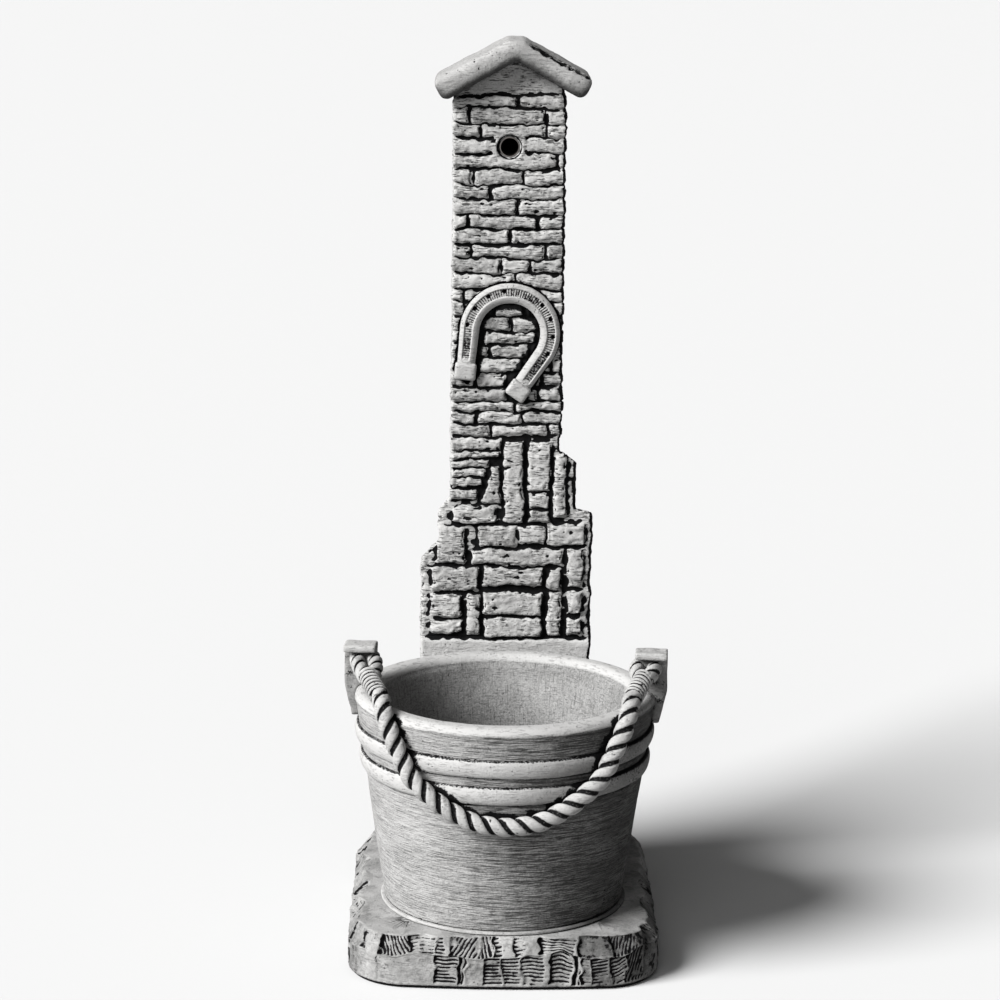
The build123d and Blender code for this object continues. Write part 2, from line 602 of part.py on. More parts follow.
with BuildPart() as column:
    with BuildSketch(front_plane(COLUMN_CORE)):
        right_side = foot_side(1, FOOT_STEPS_RIGHT, HALF_CORE)
        left_side = foot_side(-1, FOOT_STEPS_LEFT, HALF_SHAFT)
        with BuildLine():
            Polyline(*right_side, *reversed(left_side), close=True)
        make_face()
    extrude(amount=hypot(CORE_DEPTH, FOOT_SHED), dir=(0, CORE_DEPTH, -FOOT_SHED))
    split(bisect_by=Plane.XY.offset(BUCKET_BOTTOM), keep=Keep.TOP)
    with BuildSketch(Plane.XY.offset(BUCKET_BOTTOM)):
        with Locations(((FOOT_RIGHT - FOOT_LEFT) / 2, DOWEL_Y)):
            Rectangle(FOOT_RIGHT + FOOT_LEFT, CORE_DEPTH)
    extrude(amount=COLUMN_PLAIN_HEIGHT)
    with BuildSketch(front_plane(COLUMN_CORE)):
        with BuildLine():
            Polyline(
                (-HALF_SHAFT, BUCKET_BOTTOM), (HALF_CORE, BUCKET_BOTTOM),
                (HALF_CORE, GABLE_Z - (HALF_CORE - ROOF_X) * UNDER_TAN), (ROOF_X, GABLE_Z),
                (-HALF_SHAFT, GABLE_Z - (HALF_SHAFT + ROOF_X) * UNDER_TAN), close=True,
            )
        make_face()
    extrude(amount=-CORE_DEPTH)
    with BuildSketch(front_plane(COLUMN_CORE)):
        for low, high, joints in course_levels():
            edges = [-HALF_SHAFT] + [share * HALF_SHAFT for share in joints] + [HALF_SHAFT]
            for left, right in zip(edges[:-1], edges[1:]):
                left_joint = 0 if left == -HALF_SHAFT else STONE_JOINT / 2
                right_joint = 0 if right == HALF_SHAFT else STONE_JOINT / 2
                stone(left + left_joint, right - right_joint, low, high)
        for right, low, high in LOW_COURSES:
            stone(-HALF_SHAFT, right, RUBBLE_Z + low, RUBBLE_Z + high)
        for left, right, low, high in RUBBLE:
            stone(left, right, RUBBLE_Z + low, RUBBLE_Z + high)
        with BuildLine():
            Polyline(*[(x, RUBBLE_Z + rise) for x, rise in RUBBLE_WEDGE], close=True)
        make_face()
    extrude(amount=STONE_RELIEF, taper=STONE_DRAFT)
    right_flank = Plane(origin=(HALF_CORE, COLUMN_CORE, 0), x_dir=(0, 1, 0), z_dir=(1, 0, 0))
    with BuildSketch(right_flank):
        for low, high, joints in course_levels():
            stone(0, CORE_DEPTH, low, high)
    extrude(amount=STONE_SIDE_RELIEF, taper=STONE_DRAFT)
    with BuildSketch(front_plane(COLUMN_CORE)):
        stone(-FOOT_LEFT, FOOT_RIGHT, BUCKET_BOTTOM, RUBBLE_Z)
    extrude(amount=STONE_RELIEF, taper=STONE_DRAFT)
    with BuildSketch(front_plane(COLUMN_CORE)):
        with Locations((0, SPOUT_Z)):
            Circle(SPOUT_PATCH)
    extrude(amount=STONE_RELIEF)
    with BuildSketch(SHOE_PLANE):
        shoe_outline(SHOE_TOE_WIDTH + 2 * SHOE_CLEARANCE, SHOE_HEEL_WIDTH + 2 * SHOE_CLEARANCE, 0)
        shoe_calkins(SHOE_CLEARANCE)
    extrude(amount=STONE_RELIEF, mode=Mode.SUBTRACT)
    with BuildSketch(front_plane(COLUMN_FRONT)):
        with Locations((0, SPOUT_Z)):
            Circle(SPOUT_MOUTH / 2)
    extrude(amount=-SPOUT_RECESS, mode=Mode.SUBTRACT)
    with BuildSketch(front_plane(COLUMN_FRONT)):
        with Locations((0, SPOUT_Z), (0, INLET_Z)):
            Circle(PIPE_OD / 2 + PIPE_FIT)
    extrude(amount=-COLUMN_DEPTH, mode=Mode.SUBTRACT)
    with BuildSketch(front_plane(COLUMN_BACK)):
        with Locations((0, (CHANNEL_LOW + CHANNEL_HIGH) / 2)):
            Rectangle(CHANNEL_WIDTH, CHANNEL_HIGH - CHANNEL_LOW)
    extrude(amount=CHANNEL_DEPTH, mode=Mode.SUBTRACT)
    with BuildSketch(Plane.XY.offset(BUCKET_BOTTOM)):
        with Locations(*DOWEL_POINTS):
            Circle(DOWEL_DIAMETER / 2 + DOWEL_FIT)
    extrude(amount=DOWEL_DEPTH, mode=Mode.SUBTRACT)
    with BuildSketch(Plane.XY.offset(GABLE_Z)):
        with Locations((ROOF_X, DOWEL_Y)):
            Circle(ROOF_DOWEL_DIAMETER / 2 + DOWEL_FIT)
    extrude(amount=-ROOF_DOWEL_DEPTH, mode=Mode.SUBTRACT)
column.part.label = "column"
export_step(column.part, "parts/column.step")

with BuildPart() as column_bed:
    with BuildSketch(Plane.XY.offset(PLINTH_HEIGHT)):
        with Locations(((FOOT_RIGHT - FOOT_LEFT) / 2, DOWEL_Y)):
            Rectangle(FOOT_RIGHT + FOOT_LEFT, CORE_DEPTH)
        with Locations(*DOWEL_POINTS):
            Circle(DOWEL_DIAMETER / 2 + DOWEL_FIT, mode=Mode.SUBTRACT)
    extrude(amount=BED_THICK)
column_bed.part.label = "column_bed"
export_step(column_bed.part, "parts/column_bed.step")

with BuildPart() as column_dowels:
    with BuildSketch(Plane.XY.offset(PLINTH_HEIGHT - DOWEL_DEPTH)):
        with Locations(*DOWEL_POINTS):
            Circle(DOWEL_DIAMETER / 2)
    extrude(amount=2 * DOWEL_DEPTH + BED_THICK)
column_dowels.part.label = "column_dowels"
export_step(column_dowels.part, "parts/column_dowels.step")


# Roof: two thick slopes with rounded eaves and a narrow flat along the ridge
def eave(sign, reach):
    """Lower and upper corner of the eave on one side; the end is square to the slope above it."""
    top = RIDGE_Z - (reach - ROOF_RIDGE_WIDTH / 2) * PITCH_TAN
    under = GABLE_Z - reach * UNDER_TAN
    drop = (top - under) / (1 + PITCH_TAN * UNDER_TAN)
    return (ROOF_X + sign * (reach - drop * PITCH_TAN), top - drop), (ROOF_X + sign * reach, top)


RIDGE_Z = GABLE_Z + ROOF_RIDGE_RISE
ROOF_FRONT = COLUMN_FRONT - ROOF_OVERHANG
ROOF_DEPTH = COLUMN_BACK - ROOF_FRONT
with BuildPart() as roof:
    with BuildSketch(front_plane(ROOF_FRONT)) as roof_profile:
        left_low, left_high = eave(-1, ROOF_REACH_LEFT)
        right_low, right_high = eave(1, ROOF_REACH_RIGHT)
        with BuildLine():
            Polyline(
                (ROOF_X, GABLE_Z), right_low, right_high, (ROOF_X + ROOF_RIDGE_WIDTH / 2, RIDGE_Z),
                (ROOF_X - ROOF_RIDGE_WIDTH / 2, RIDGE_Z), left_high, left_low, close=True,
            )
        make_face()
        eaves = roof_profile.vertices().sort_by(Axis.X)
        fillet(eaves[:2] + eaves[-2:], ROOF_EDGE_ROUND)
    extrude(amount=-ROOF_DEPTH)
    front_edges = roof.faces().sort_by(Axis.Y)[0].edges()
    fillet(front_edges, ROOF_FRONT_ROUND)
    with BuildSketch(Plane.XY.offset(GABLE_Z)):
        with Locations((ROOF_X, DOWEL_Y)):
            Circle(ROOF_DOWEL_DIAMETER / 2 + DOWEL_FIT)
    extrude(amount=ROOF_DOWEL_DEPTH, both=True, mode=Mode.SUBTRACT)
roof.part.label = "roof"
export_step(roof.part, "parts/roof.step")

with BuildPart() as roof_dowel:
    with BuildSketch(Plane.XY.offset(GABLE_Z - ROOF_DOWEL_DEPTH)):
        with Locations((ROOF_X, DOWEL_Y)):
            Circle(ROOF_DOWEL_DIAMETER / 2)
    extrude(amount=2 * ROOF_DOWEL_DEPTH)
roof_dowel.part.label = "roof_dowel"
export_step(roof_dowel.part, "parts/roof_dowel.step")


# Water pipe
def pipe_along_y(name, start, end, height):
    """Straight pipe from front to back at a height."""
    with BuildPart() as pipe:
        with BuildSketch(front_plane(start)):
            with Locations((0, height)):
                Circle(PIPE_OD / 2)
                Circle(PIPE_ID / 2, mode=Mode.SUBTRACT)
        extrude(amount=start - end)
    pipe.part.label = name
    export_step(pipe.part, f"parts/{name}.step")


def elbow(name, height, sign):
    """Bend from a pipe along Y to the riser, with a socket at each end; sign is 1 for a bend upwards."""
    reach = ELBOW_BEND + ELBOW_SOCKET
    corner = Vector(0, RISER_Y, height)
    with BuildPart() as bend:
        with BuildLine() as bend_line:
            FilletPolyline(
                corner - Vector(0, reach, 0), corner, corner + Vector(0, 0, sign * reach), radius=ELBOW_BEND
            )
        with BuildSketch(front_plane(RISER_Y - reach)):
            with Locations((0, height)):
                Circle(ELBOW_OD / 2)
                Circle(PIPE_ID / 2, mode=Mode.SUBTRACT)
        sweep()
        with BuildSketch(front_plane(RISER_Y - reach)):
            with Locations((0, height)):
                Circle(PIPE_OD / 2 + PIPE_FIT)
        extrude(amount=-ELBOW_SOCKET, mode=Mode.SUBTRACT)
        with BuildSketch(Plane((0, RISER_Y, height + sign * reach))):
            Circle(PIPE_OD / 2 + PIPE_FIT)
        extrude(amount=-sign * ELBOW_SOCKET, mode=Mode.SUBTRACT)
    bend.part.label = name
    export_step(bend.part, f"parts/{name}.step")


PIPE_STOP = RISER_Y - ELBOW_BEND
pipe_along_y("spout_pipe", COLUMN_FRONT + SPOUT_RECESS, PIPE_STOP, SPOUT_Z)
pipe_along_y("inlet_pipe", INNER_WALL_Y - INLET_PROJECTION, PIPE_STOP, INLET_Z)
elbow("inlet_elbow", INLET_Z, 1)
elbow("spout_elbow", SPOUT_Z, -1)

with BuildPart() as riser_pipe:
    with BuildSketch(Plane((0, RISER_Y, INLET_Z + ELBOW_BEND))):
        Circle(PIPE_OD / 2)
        Circle(PIPE_ID / 2, mode=Mode.SUBTRACT)
    extrude(amount=SPOUT_Z - INLET_Z - 2 * ELBOW_BEND)
riser_pipe.part.label = "riser_pipe"
export_step(riser_pipe.part, "parts/riser_pipe.step")

CHANNEL_FLOOR = COLUMN_BACK - CHANNEL_DEPTH
with BuildPart() as pipe_clips:
    for rise in CLIP_RISES:
        inner = PIPE_OD / 2 + PIPE_FIT
        outer = inner + CLIP_THICK
        with BuildSketch(Plane.XY.offset(INLET_Z + rise)):
            with Locations((0, RISER_Y)):
                Circle(outer)
            with Locations((0, (CHANNEL_FLOOR + RISER_Y) / 2)):
                Rectangle(2 * outer, RISER_Y - CHANNEL_FLOOR)
            with Locations((0, CHANNEL_FLOOR + CLIP_THICK / 2)):
                Rectangle(2 * (outer + CLIP_TAB), CLIP_THICK)
            with Locations((0, RISER_Y)):
                Circle(inner, mode=Mode.SUBTRACT)
            with Locations((0, (CHANNEL_FLOOR + RISER_Y) / 2)):
                Rectangle(2 * inner, RISER_Y - CHANNEL_FLOOR, mode=Mode.SUBTRACT)
        extrude(amount=CLIP_WIDTH)
pipe_clips.part.label = "pipe_clips"
export_step(pipe_clips.part, "parts/pipe_clips.step")

# Rubber sleeve that seals the inlet pipe in the bucket's rear wall
GROMMET_START = INNER_WALL_Y - GROMMET_PROUD
GROMMET_END = BUCKET_Y + wall_radius(INLET_Z) + GROMMET_PROUD
with BuildPart() as wall_grommet:
    with BuildSketch(front_plane(GROMMET_START)):
        with Locations((0, INLET_Z)):
            Circle(GROMMET_OD / 2)
            Circle(PIPE_OD / 2 + PIPE_FIT, mode=Mode.SUBTRACT)
    extrude(amount=GROMMET_START - GROMMET_END)
wall_grommet.part.label = "wall_grommet"
export_step(wall_grommet.part, "parts/wall_grommet.step")


# Pump: the impeller turns about X in a chamber at the left, and the outlet points back at the pipe
PUMP_LEFT = -(CHAMBER_DEPTH / 2)
SIDE_PLANE = Plane(origin=(PUMP_LEFT, PUMP_Y, PUMP_Z), x_dir=(0, -1, 0), z_dir=(-1, 0, 0))
with BuildPart() as pump_body:
    with BuildSketch(SIDE_PLANE):
        RectangleRounded(PUMP_LENGTH, PUMP_HEIGHT, PUMP_CORNER)
    extrude(amount=-PUMP_BODY_WIDTH)
    fillet(pump_body.faces().sort_by(Axis.X)[-1].edges(), PUMP_ROUND)
    with BuildSketch(front_plane(PUMP_REAR)):
        with Locations((0, INLET_Z)):
            Circle(PIPE_OD / 2)
    extrude(amount=-OUTLET_BARB)
    with BuildSketch(SIDE_PLANE.offset(-PUMP_BODY_WIDTH)):
        Circle(GLAND_RADIUS)
        Circle(GLAND_BORE, mode=Mode.SUBTRACT)
    extrude(amount=-GLAND_LENGTH)
    with BuildSketch(SIDE_PLANE):
        Circle(CHAMBER_RADIUS)
    extrude(amount=-CHAMBER_DEPTH, mode=Mode.SUBTRACT)
    with BuildSketch(front_plane(PUMP_Y)):
        with Locations((0, INLET_Z)):
            Circle(OUTLET_BORE / 2)
    extrude(amount=-(PUMP_LENGTH / 2 + OUTLET_BARB), mode=Mode.SUBTRACT)
    with BuildSketch(SIDE_PLANE.offset(-CHAMBER_DEPTH)):
        Circle(SHAFT_RADIUS + PIPE_FIT)
    extrude(amount=-SHAFT_SEAT, mode=Mode.SUBTRACT)
pump_body.part.label = "pump_body"
export_step(pump_body.part, "parts/pump_body.step")

SLOT_COUNT = int((PUMP_LENGTH - 2 * PUMP_CORNER) / COVER_SLOT_PITCH)
with BuildPart() as pump_cover:
    with BuildSketch(SIDE_PLANE):
        RectangleRounded(PUMP_LENGTH, PUMP_HEIGHT, PUMP_CORNER)
    extrude(amount=COVER_THICK)
    fillet(pump_cover.faces().sort_by(Axis.X)[0].edges(), COVER_ROUND)
    with BuildSketch(SIDE_PLANE):
        RectangleRounded(
            PUMP_LENGTH - 2 * COVER_FACE, PUMP_HEIGHT - 2 * COVER_FACE, PUMP_CORNER - COVER_ROUND
        )
    extrude(amount=COVER_THICK - COVER_FACE, mode=Mode.SUBTRACT)
    with BuildSketch(SIDE_PLANE):
        with Locations((0, COVER_SLOT_OFFSET), (0, -COVER_SLOT_OFFSET)):
            with GridLocations(COVER_SLOT_PITCH, COVER_SLOT_PITCH, SLOT_COUNT, 1):
                Rectangle(COVER_SLOT_WIDTH, COVER_SLOT_LENGTH)
        Circle(DIAL_STEM + RUNNING_CLEARANCE)
    extrude(amount=COVER_THICK, mode=Mode.SUBTRACT)
pump_cover.part.label = "pump_cover"
export_step(pump_cover.part, "parts/pump_cover.step")

with BuildPart() as impeller_shaft:
    with BuildSketch(SIDE_PLANE.offset(-CHAMBER_DEPTH - SHAFT_SEAT)):
        Circle(SHAFT_RADIUS)
    extrude(amount=CHAMBER_DEPTH + SHAFT_SEAT)
impeller_shaft.part.label = "impeller_shaft"
export_step(impeller_shaft.part, "parts/impeller_shaft.step")

IMPELLER_RADIUS = CHAMBER_RADIUS - IMPELLER_CLEARANCE
IMPELLER_LENGTH = CHAMBER_DEPTH - 2 * IMPELLER_CLEARANCE
with BuildPart() as impeller:
    with BuildSketch(SIDE_PLANE.offset(-CHAMBER_DEPTH + IMPELLER_CLEARANCE)):
        Circle(IMPELLER_RADIUS)
    extrude(amount=IMPELLER_DISC)
    with BuildSketch(SIDE_PLANE.offset(-CHAMBER_DEPTH + IMPELLER_CLEARANCE)):
        Circle(IMPELLER_HUB)
        with PolarLocations((IMPELLER_HUB + IMPELLER_RADIUS) / 2 - IMPELLER_VANE_SETBACK, IMPELLER_VANES):
            Rectangle(IMPELLER_RADIUS - IMPELLER_HUB, IMPELLER_VANE)
    extrude(amount=IMPELLER_LENGTH)
    with BuildSketch(SIDE_PLANE):
        Circle(SHAFT_RADIUS + RUNNING_CLEARANCE)
    extrude(amount=-CHAMBER_DEPTH, mode=Mode.SUBTRACT)
impeller.part.label = "impeller"
export_step(impeller.part, "parts/impeller.step")

DIAL_PLANE = SIDE_PLANE.offset(COVER_THICK + DIAL_FACE_GAP)
with BuildPart() as flow_dial:
    with BuildSketch(DIAL_PLANE):
        Circle(DIAL_RADIUS)
    extrude(amount=DIAL_THICK)
    with BuildSketch(DIAL_PLANE.offset(DIAL_THICK)):
        Rectangle(DIAL_GRIP_WIDTH, 2 * DIAL_RADIUS - DIAL_GRIP_WIDTH)
    extrude(amount=DIAL_GRIP_HEIGHT)
    with BuildSketch(DIAL_PLANE):
        Circle(DIAL_STEM)
    extrude(amount=-(DIAL_FACE_GAP + COVER_FACE + DIAL_STEM_END))
flow_dial.part.label = "flow_dial"
export_step(flow_dial.part, "parts/flow_dial.step")

with BuildPart() as pump_feet:
    foot_x = PUMP_LEFT + PUMP_BODY_WIDTH / 2
    with BuildSketch(Plane((foot_x, PUMP_Y, FLOOR_Z))):
        with GridLocations(PUMP_BODY_WIDTH - 2 * FOOT_RADIUS, PUMP_LENGTH - 2 * FOOT_RADIUS, 2, 2):
            Circle(FOOT_RADIUS)
    extrude(amount=FOOT_HEIGHT, taper=FOOT_DRAW)
pump_feet.part.label = "pump_feet"
export_step(pump_feet.part, "parts/pump_feet.step")

# Feed hose over the pump's outlet and the inlet pipe, with a clip at each end
HOSE_START = PUMP_REAR + OUTLET_BARB - HOSE_LAP
HOSE_END = INNER_WALL_Y - INLET_PROJECTION + HOSE_LAP
HOSE_INNER = PIPE_OD / 2 + PIPE_FIT
HOSE_OUTER = HOSE_INNER + HOSE_WALL
with BuildPart() as feed_hose:
    with BuildSketch(front_plane(HOSE_START)):
        with Locations((0, INLET_Z)):
            Circle(HOSE_OUTER)
            Circle(HOSE_INNER, mode=Mode.SUBTRACT)
    extrude(amount=HOSE_START - HOSE_END)
feed_hose.part.label = "feed_hose"
export_step(feed_hose.part, "parts/feed_hose.step")

CLIP_MARGIN = (HOSE_LAP - HOSE_CLIP_WIDTH) / 2
with BuildPart() as hose_clips:
    for start in (HOSE_START + CLIP_MARGIN, HOSE_END - CLIP_MARGIN - HOSE_CLIP_WIDTH):
        with BuildSketch(front_plane(start)):
            with Locations((0, INLET_Z)):
                Circle(HOSE_OUTER + PIPE_FIT + HOSE_CLIP_THICK)
            with Locations((0, INLET_Z + HOSE_OUTER + HOSE_CLIP_SCREW / 2)):
                Rectangle(HOSE_CLIP_SCREW, HOSE_CLIP_SCREW)
            with Locations((0, INLET_Z)):
                Circle(HOSE_OUTER + PIPE_FIT, mode=Mode.SUBTRACT)
        extrude(amount=-HOSE_CLIP_WIDTH)
hose_clips.part.label = "hose_clips"
export_step(hose_clips.part, "parts/hose_clips.step")
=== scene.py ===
import json
import logging
import math
from dataclasses import dataclass
from enum import Enum, IntEnum
from typing import Callable, Iterator, Sequence, Union

import bpy
import numpy as np
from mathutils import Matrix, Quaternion, Vector
from mathutils.bvhtree import BVHTree


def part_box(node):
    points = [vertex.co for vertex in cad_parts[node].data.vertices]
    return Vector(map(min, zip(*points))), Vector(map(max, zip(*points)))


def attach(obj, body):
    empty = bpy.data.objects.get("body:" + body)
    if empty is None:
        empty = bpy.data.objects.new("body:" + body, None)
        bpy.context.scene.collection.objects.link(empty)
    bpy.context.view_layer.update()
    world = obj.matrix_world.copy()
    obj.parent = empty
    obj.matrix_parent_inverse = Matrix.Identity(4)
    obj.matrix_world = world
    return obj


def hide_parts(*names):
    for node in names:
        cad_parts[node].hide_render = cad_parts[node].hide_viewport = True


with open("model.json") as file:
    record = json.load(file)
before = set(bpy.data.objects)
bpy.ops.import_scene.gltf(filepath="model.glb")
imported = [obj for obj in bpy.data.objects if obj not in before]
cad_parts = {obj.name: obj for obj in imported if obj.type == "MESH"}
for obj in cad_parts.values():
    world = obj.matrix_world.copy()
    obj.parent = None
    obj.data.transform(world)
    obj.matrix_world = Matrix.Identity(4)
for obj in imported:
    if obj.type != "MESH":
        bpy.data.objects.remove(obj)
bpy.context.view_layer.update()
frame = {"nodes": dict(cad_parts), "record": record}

# Bucket fountain of antiqued cast stone, dressed round its CAD frame.
# Forms are worked out in millimetres and written to Blender in metres.

LOG = logging.getLogger("fountain")
MM = 0.001
ROOT = "fountain"
QUARTER = math.pi / 2
Array = np.ndarray
Triple = tuple[float, float, float]
Profile = list[tuple[float, float]]
Paint = bpy.types.Material
Piece = bpy.types.Object
Mesh = bpy.types.Mesh
Tree = bpy.types.NodeTree
Socket = bpy.types.NodeSocket
Sockets = bpy.types.bpy_prop_collection
Value = Union["Wire", float, Sequence[float], Paint, bool]


# Small helpers

def soft_step(values: Array, low: float, high: float) -> Array:
    """Smooth step from 0 at low to 1 at high; low may be the larger of the two."""
    share = np.clip((values - low) / (high - low), 0, 1)
    return share * share * (3 - 2 * share)


def unit(vectors: Array) -> Array:
    """Vectors scaled to a length of 1."""
    return vectors / np.linalg.norm(vectors, axis=-1, keepdims=True)


def run_along(line: Array) -> Array:
    """Distance of each point of a line from its start, measured along it."""
    return np.concatenate([[0], np.cumsum(np.linalg.norm(np.diff(line, axis=0), axis=1))])


def evenly(line: Array, count: int, closed: bool = False) -> Array:
    """Space points evenly along a line.

    Args:
        line: points of the line; a closed one ends with its first point again.
        count: number of points returned.
        closed: leave the last point out, because it is the first one again.

    Returns:
        The points, with as many parts as the line's own.
    """
    run = run_along(line)
    even = np.linspace(0, run[-1], count, endpoint=not closed)
    return np.column_stack([np.interp(even, run, part) for part in line.T])


def nearest(points: Array, line: Array) -> tuple[Array, Array]:
    """Distance from each point to the nearest place on a line, and the number of that place."""
    gap, number = np.full(len(points), np.inf), np.zeros(len(points), int)
    for index, place in enumerate(line):
        here = np.linalg.norm(points - place, axis=1)
        number[here < gap] = index
        gap = np.minimum(gap, here)
    return gap, number


def node_box(node: str) -> tuple[Array, Array]:
    """Lowest and highest corner of a CAD node, in millimetres."""
    low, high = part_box(node)
    return np.array(low) / MM, np.array(high) / MM


class Noise:
    """Smooth lattice noise in space, the same on every run."""

    SIZE = 32

    def __init__(self, seed: int) -> None:
        self.lattice = np.random.default_rng(seed).uniform(-1, 1, (self.SIZE,) * 3)

    def __call__(self, points: Array, pitch: float | Sequence[float]) -> Array:
        """Noise from -1 to 1 at each point.

        Args:
            points: n by 3 places.
            pitch: size of the lattice cells, the same each way or one per axis.

        Returns:
            One value per point.
        """
        scaled = points / np.asarray(pitch, float)
        cell = np.floor(scaled).astype(int)
        share = scaled - cell
        share = share * share * (3 - 2 * share)
        total = np.zeros(len(points))
        for corner in np.ndindex(2, 2, 2):
            index = (cell + np.array(corner)) % self.SIZE
            weight = np.prod(np.where(corner, share, 1 - share), axis=1)
            total += weight * self.lattice[index[:, 0], index[:, 1], index[:, 2]]
        return total

    def layers(self, points: Array, pitch: float, count: int) -> Array:
        """Sum of finer and fainter layers of noise."""
        return sum(self(points + 7.3 * step, pitch / 2 ** step) / 2 ** step for step in range(count))


# Node trees and finishes

def operator(operation: str, reflected: bool = False) -> Callable[["Wire", Value], "Wire"]:
    """Method that adds a maths node for a wire and another value.

    Args:
        operation: Blender's name for the operation.
        reflected: put the other value first.

    Returns:
        The method.
    """
    def method(wire: "Wire", other: Value) -> "Wire":
        """Add the maths node."""
        return wire.math(operation, *((other, wire) if reflected else (wire, other)))

    return method


class Wire:
    """One output socket of a node tree that takes part in arithmetic."""

    def __init__(self, socket: Socket) -> None:
        self.socket = socket

    @classmethod
    def add(cls, tree: Tree, kind: str, inputs: dict | None = None, output: int | str = 0,
            **settings: object) -> "Wire":
        """Add a node of any kind.

        Args:
            tree: shader or geometry tree that gets the node.
            kind: Blender's name for the node's type.
            inputs: values or wires by the input's name, identifier or number.
            output: the output that is returned.
            **settings: properties of the node itself.

        Returns:
            The chosen output as a wire.
        """
        made = tree.nodes.new(kind)
        for name, value in settings.items():
            setattr(made, name, value)
        for key, value in (inputs or {}).items():
            cls.plug(cls.find(made.inputs, key), value)
        return cls(cls.find(made.outputs, output))

    @staticmethod
    def find(sockets: Sockets, key: int | str) -> Socket:
        """Socket with this number or identifier, or else with this name."""
        for socket in sockets:
            if socket.identifier == key:
                return socket
        return sockets[key]

    @staticmethod
    def plug(socket: Socket, value: Value) -> None:
        """Link a wire to an input, or set the input to a constant."""
        if isinstance(value, Wire):
            socket.id_data.links.new(value.socket, socket)
        else:
            socket.default_value = value

    def node(self, kind: str, inputs: dict | None = None, output: int | str = 0,
             **settings: object) -> "Wire":
        """Add a node to this wire's tree."""
        return Wire.add(self.socket.id_data, kind, inputs, output, **settings)

    def math(self, operation: str, first: Value, second: Value = 0.0) -> "Wire":
        """Add a maths node with these two operands."""
        return self.node("ShaderNodeMath", {0: first, 1: second}, operation=operation)

    __add__, __radd__ = operator("ADD"), operator("ADD", reflected=True)
    __sub__, __rsub__ = operator("SUBTRACT"), operator("SUBTRACT", reflected=True)
    __mul__, __rmul__ = operator("MULTIPLY"), operator("MULTIPLY", reflected=True)
    __truediv__, __rtruediv__ = operator("DIVIDE"), operator("DIVIDE", reflected=True)

    def step(self, low: float, high: float) -> "Wire":
        """Smooth step from 0 at low to 1 at high."""
        limits = {"Value": self, "From Min": low, "From Max": high}
        return self.node("ShaderNodeMapRange", limits, interpolation_type="SMOOTHSTEP")

    def mix(self, first: Triple, second: Union["Wire", Triple]) -> "Wire":
        """Colour between two others, with this wire as the share of the second."""
        ends = [colour if isinstance(colour, Wire) else (*colour, 1.0) for colour in (first, second)]
        inputs = {"Factor_Float": self, "A_Color": ends[0], "B_Color": ends[1]}
        return self.node("ShaderNodeMix", inputs, "Result_Color", data_type="RGBA")

    def noise(self, scale: float, detail: float, rough: float = 0.5) -> "Wire":
        """Noise at the places that this wire gives."""
        inputs = {"Vector": self, "Scale": scale, "Detail": detail, "Roughness": rough}
        return self.node("ShaderNodeTexNoise", inputs)


def new_material(name: str) -> tuple[Paint, Sockets]:
    """Material with the inputs of its one shader."""
    material = bpy.data.materials.new(name)
    material.use_nodes = True
    return material, material.node_tree.nodes["Principled BSDF"].inputs


def own_place(material: Paint) -> Wire:
    """Place in the object that a material is on."""
    return Wire.add(material.node_tree, "ShaderNodeTexCoord", output="Object")


class Material(Enum):
    """Material slots of the record."""

    STONE = "cast_stone"
    MORTAR = "mortar"
    COPPER = "copper"
    STEEL = "steel"
    PUMP = "pump_plastic"
    DIAL = "dial_plastic"
    RUBBER = "rubber"
    CERAMIC = "shaft_ceramic"


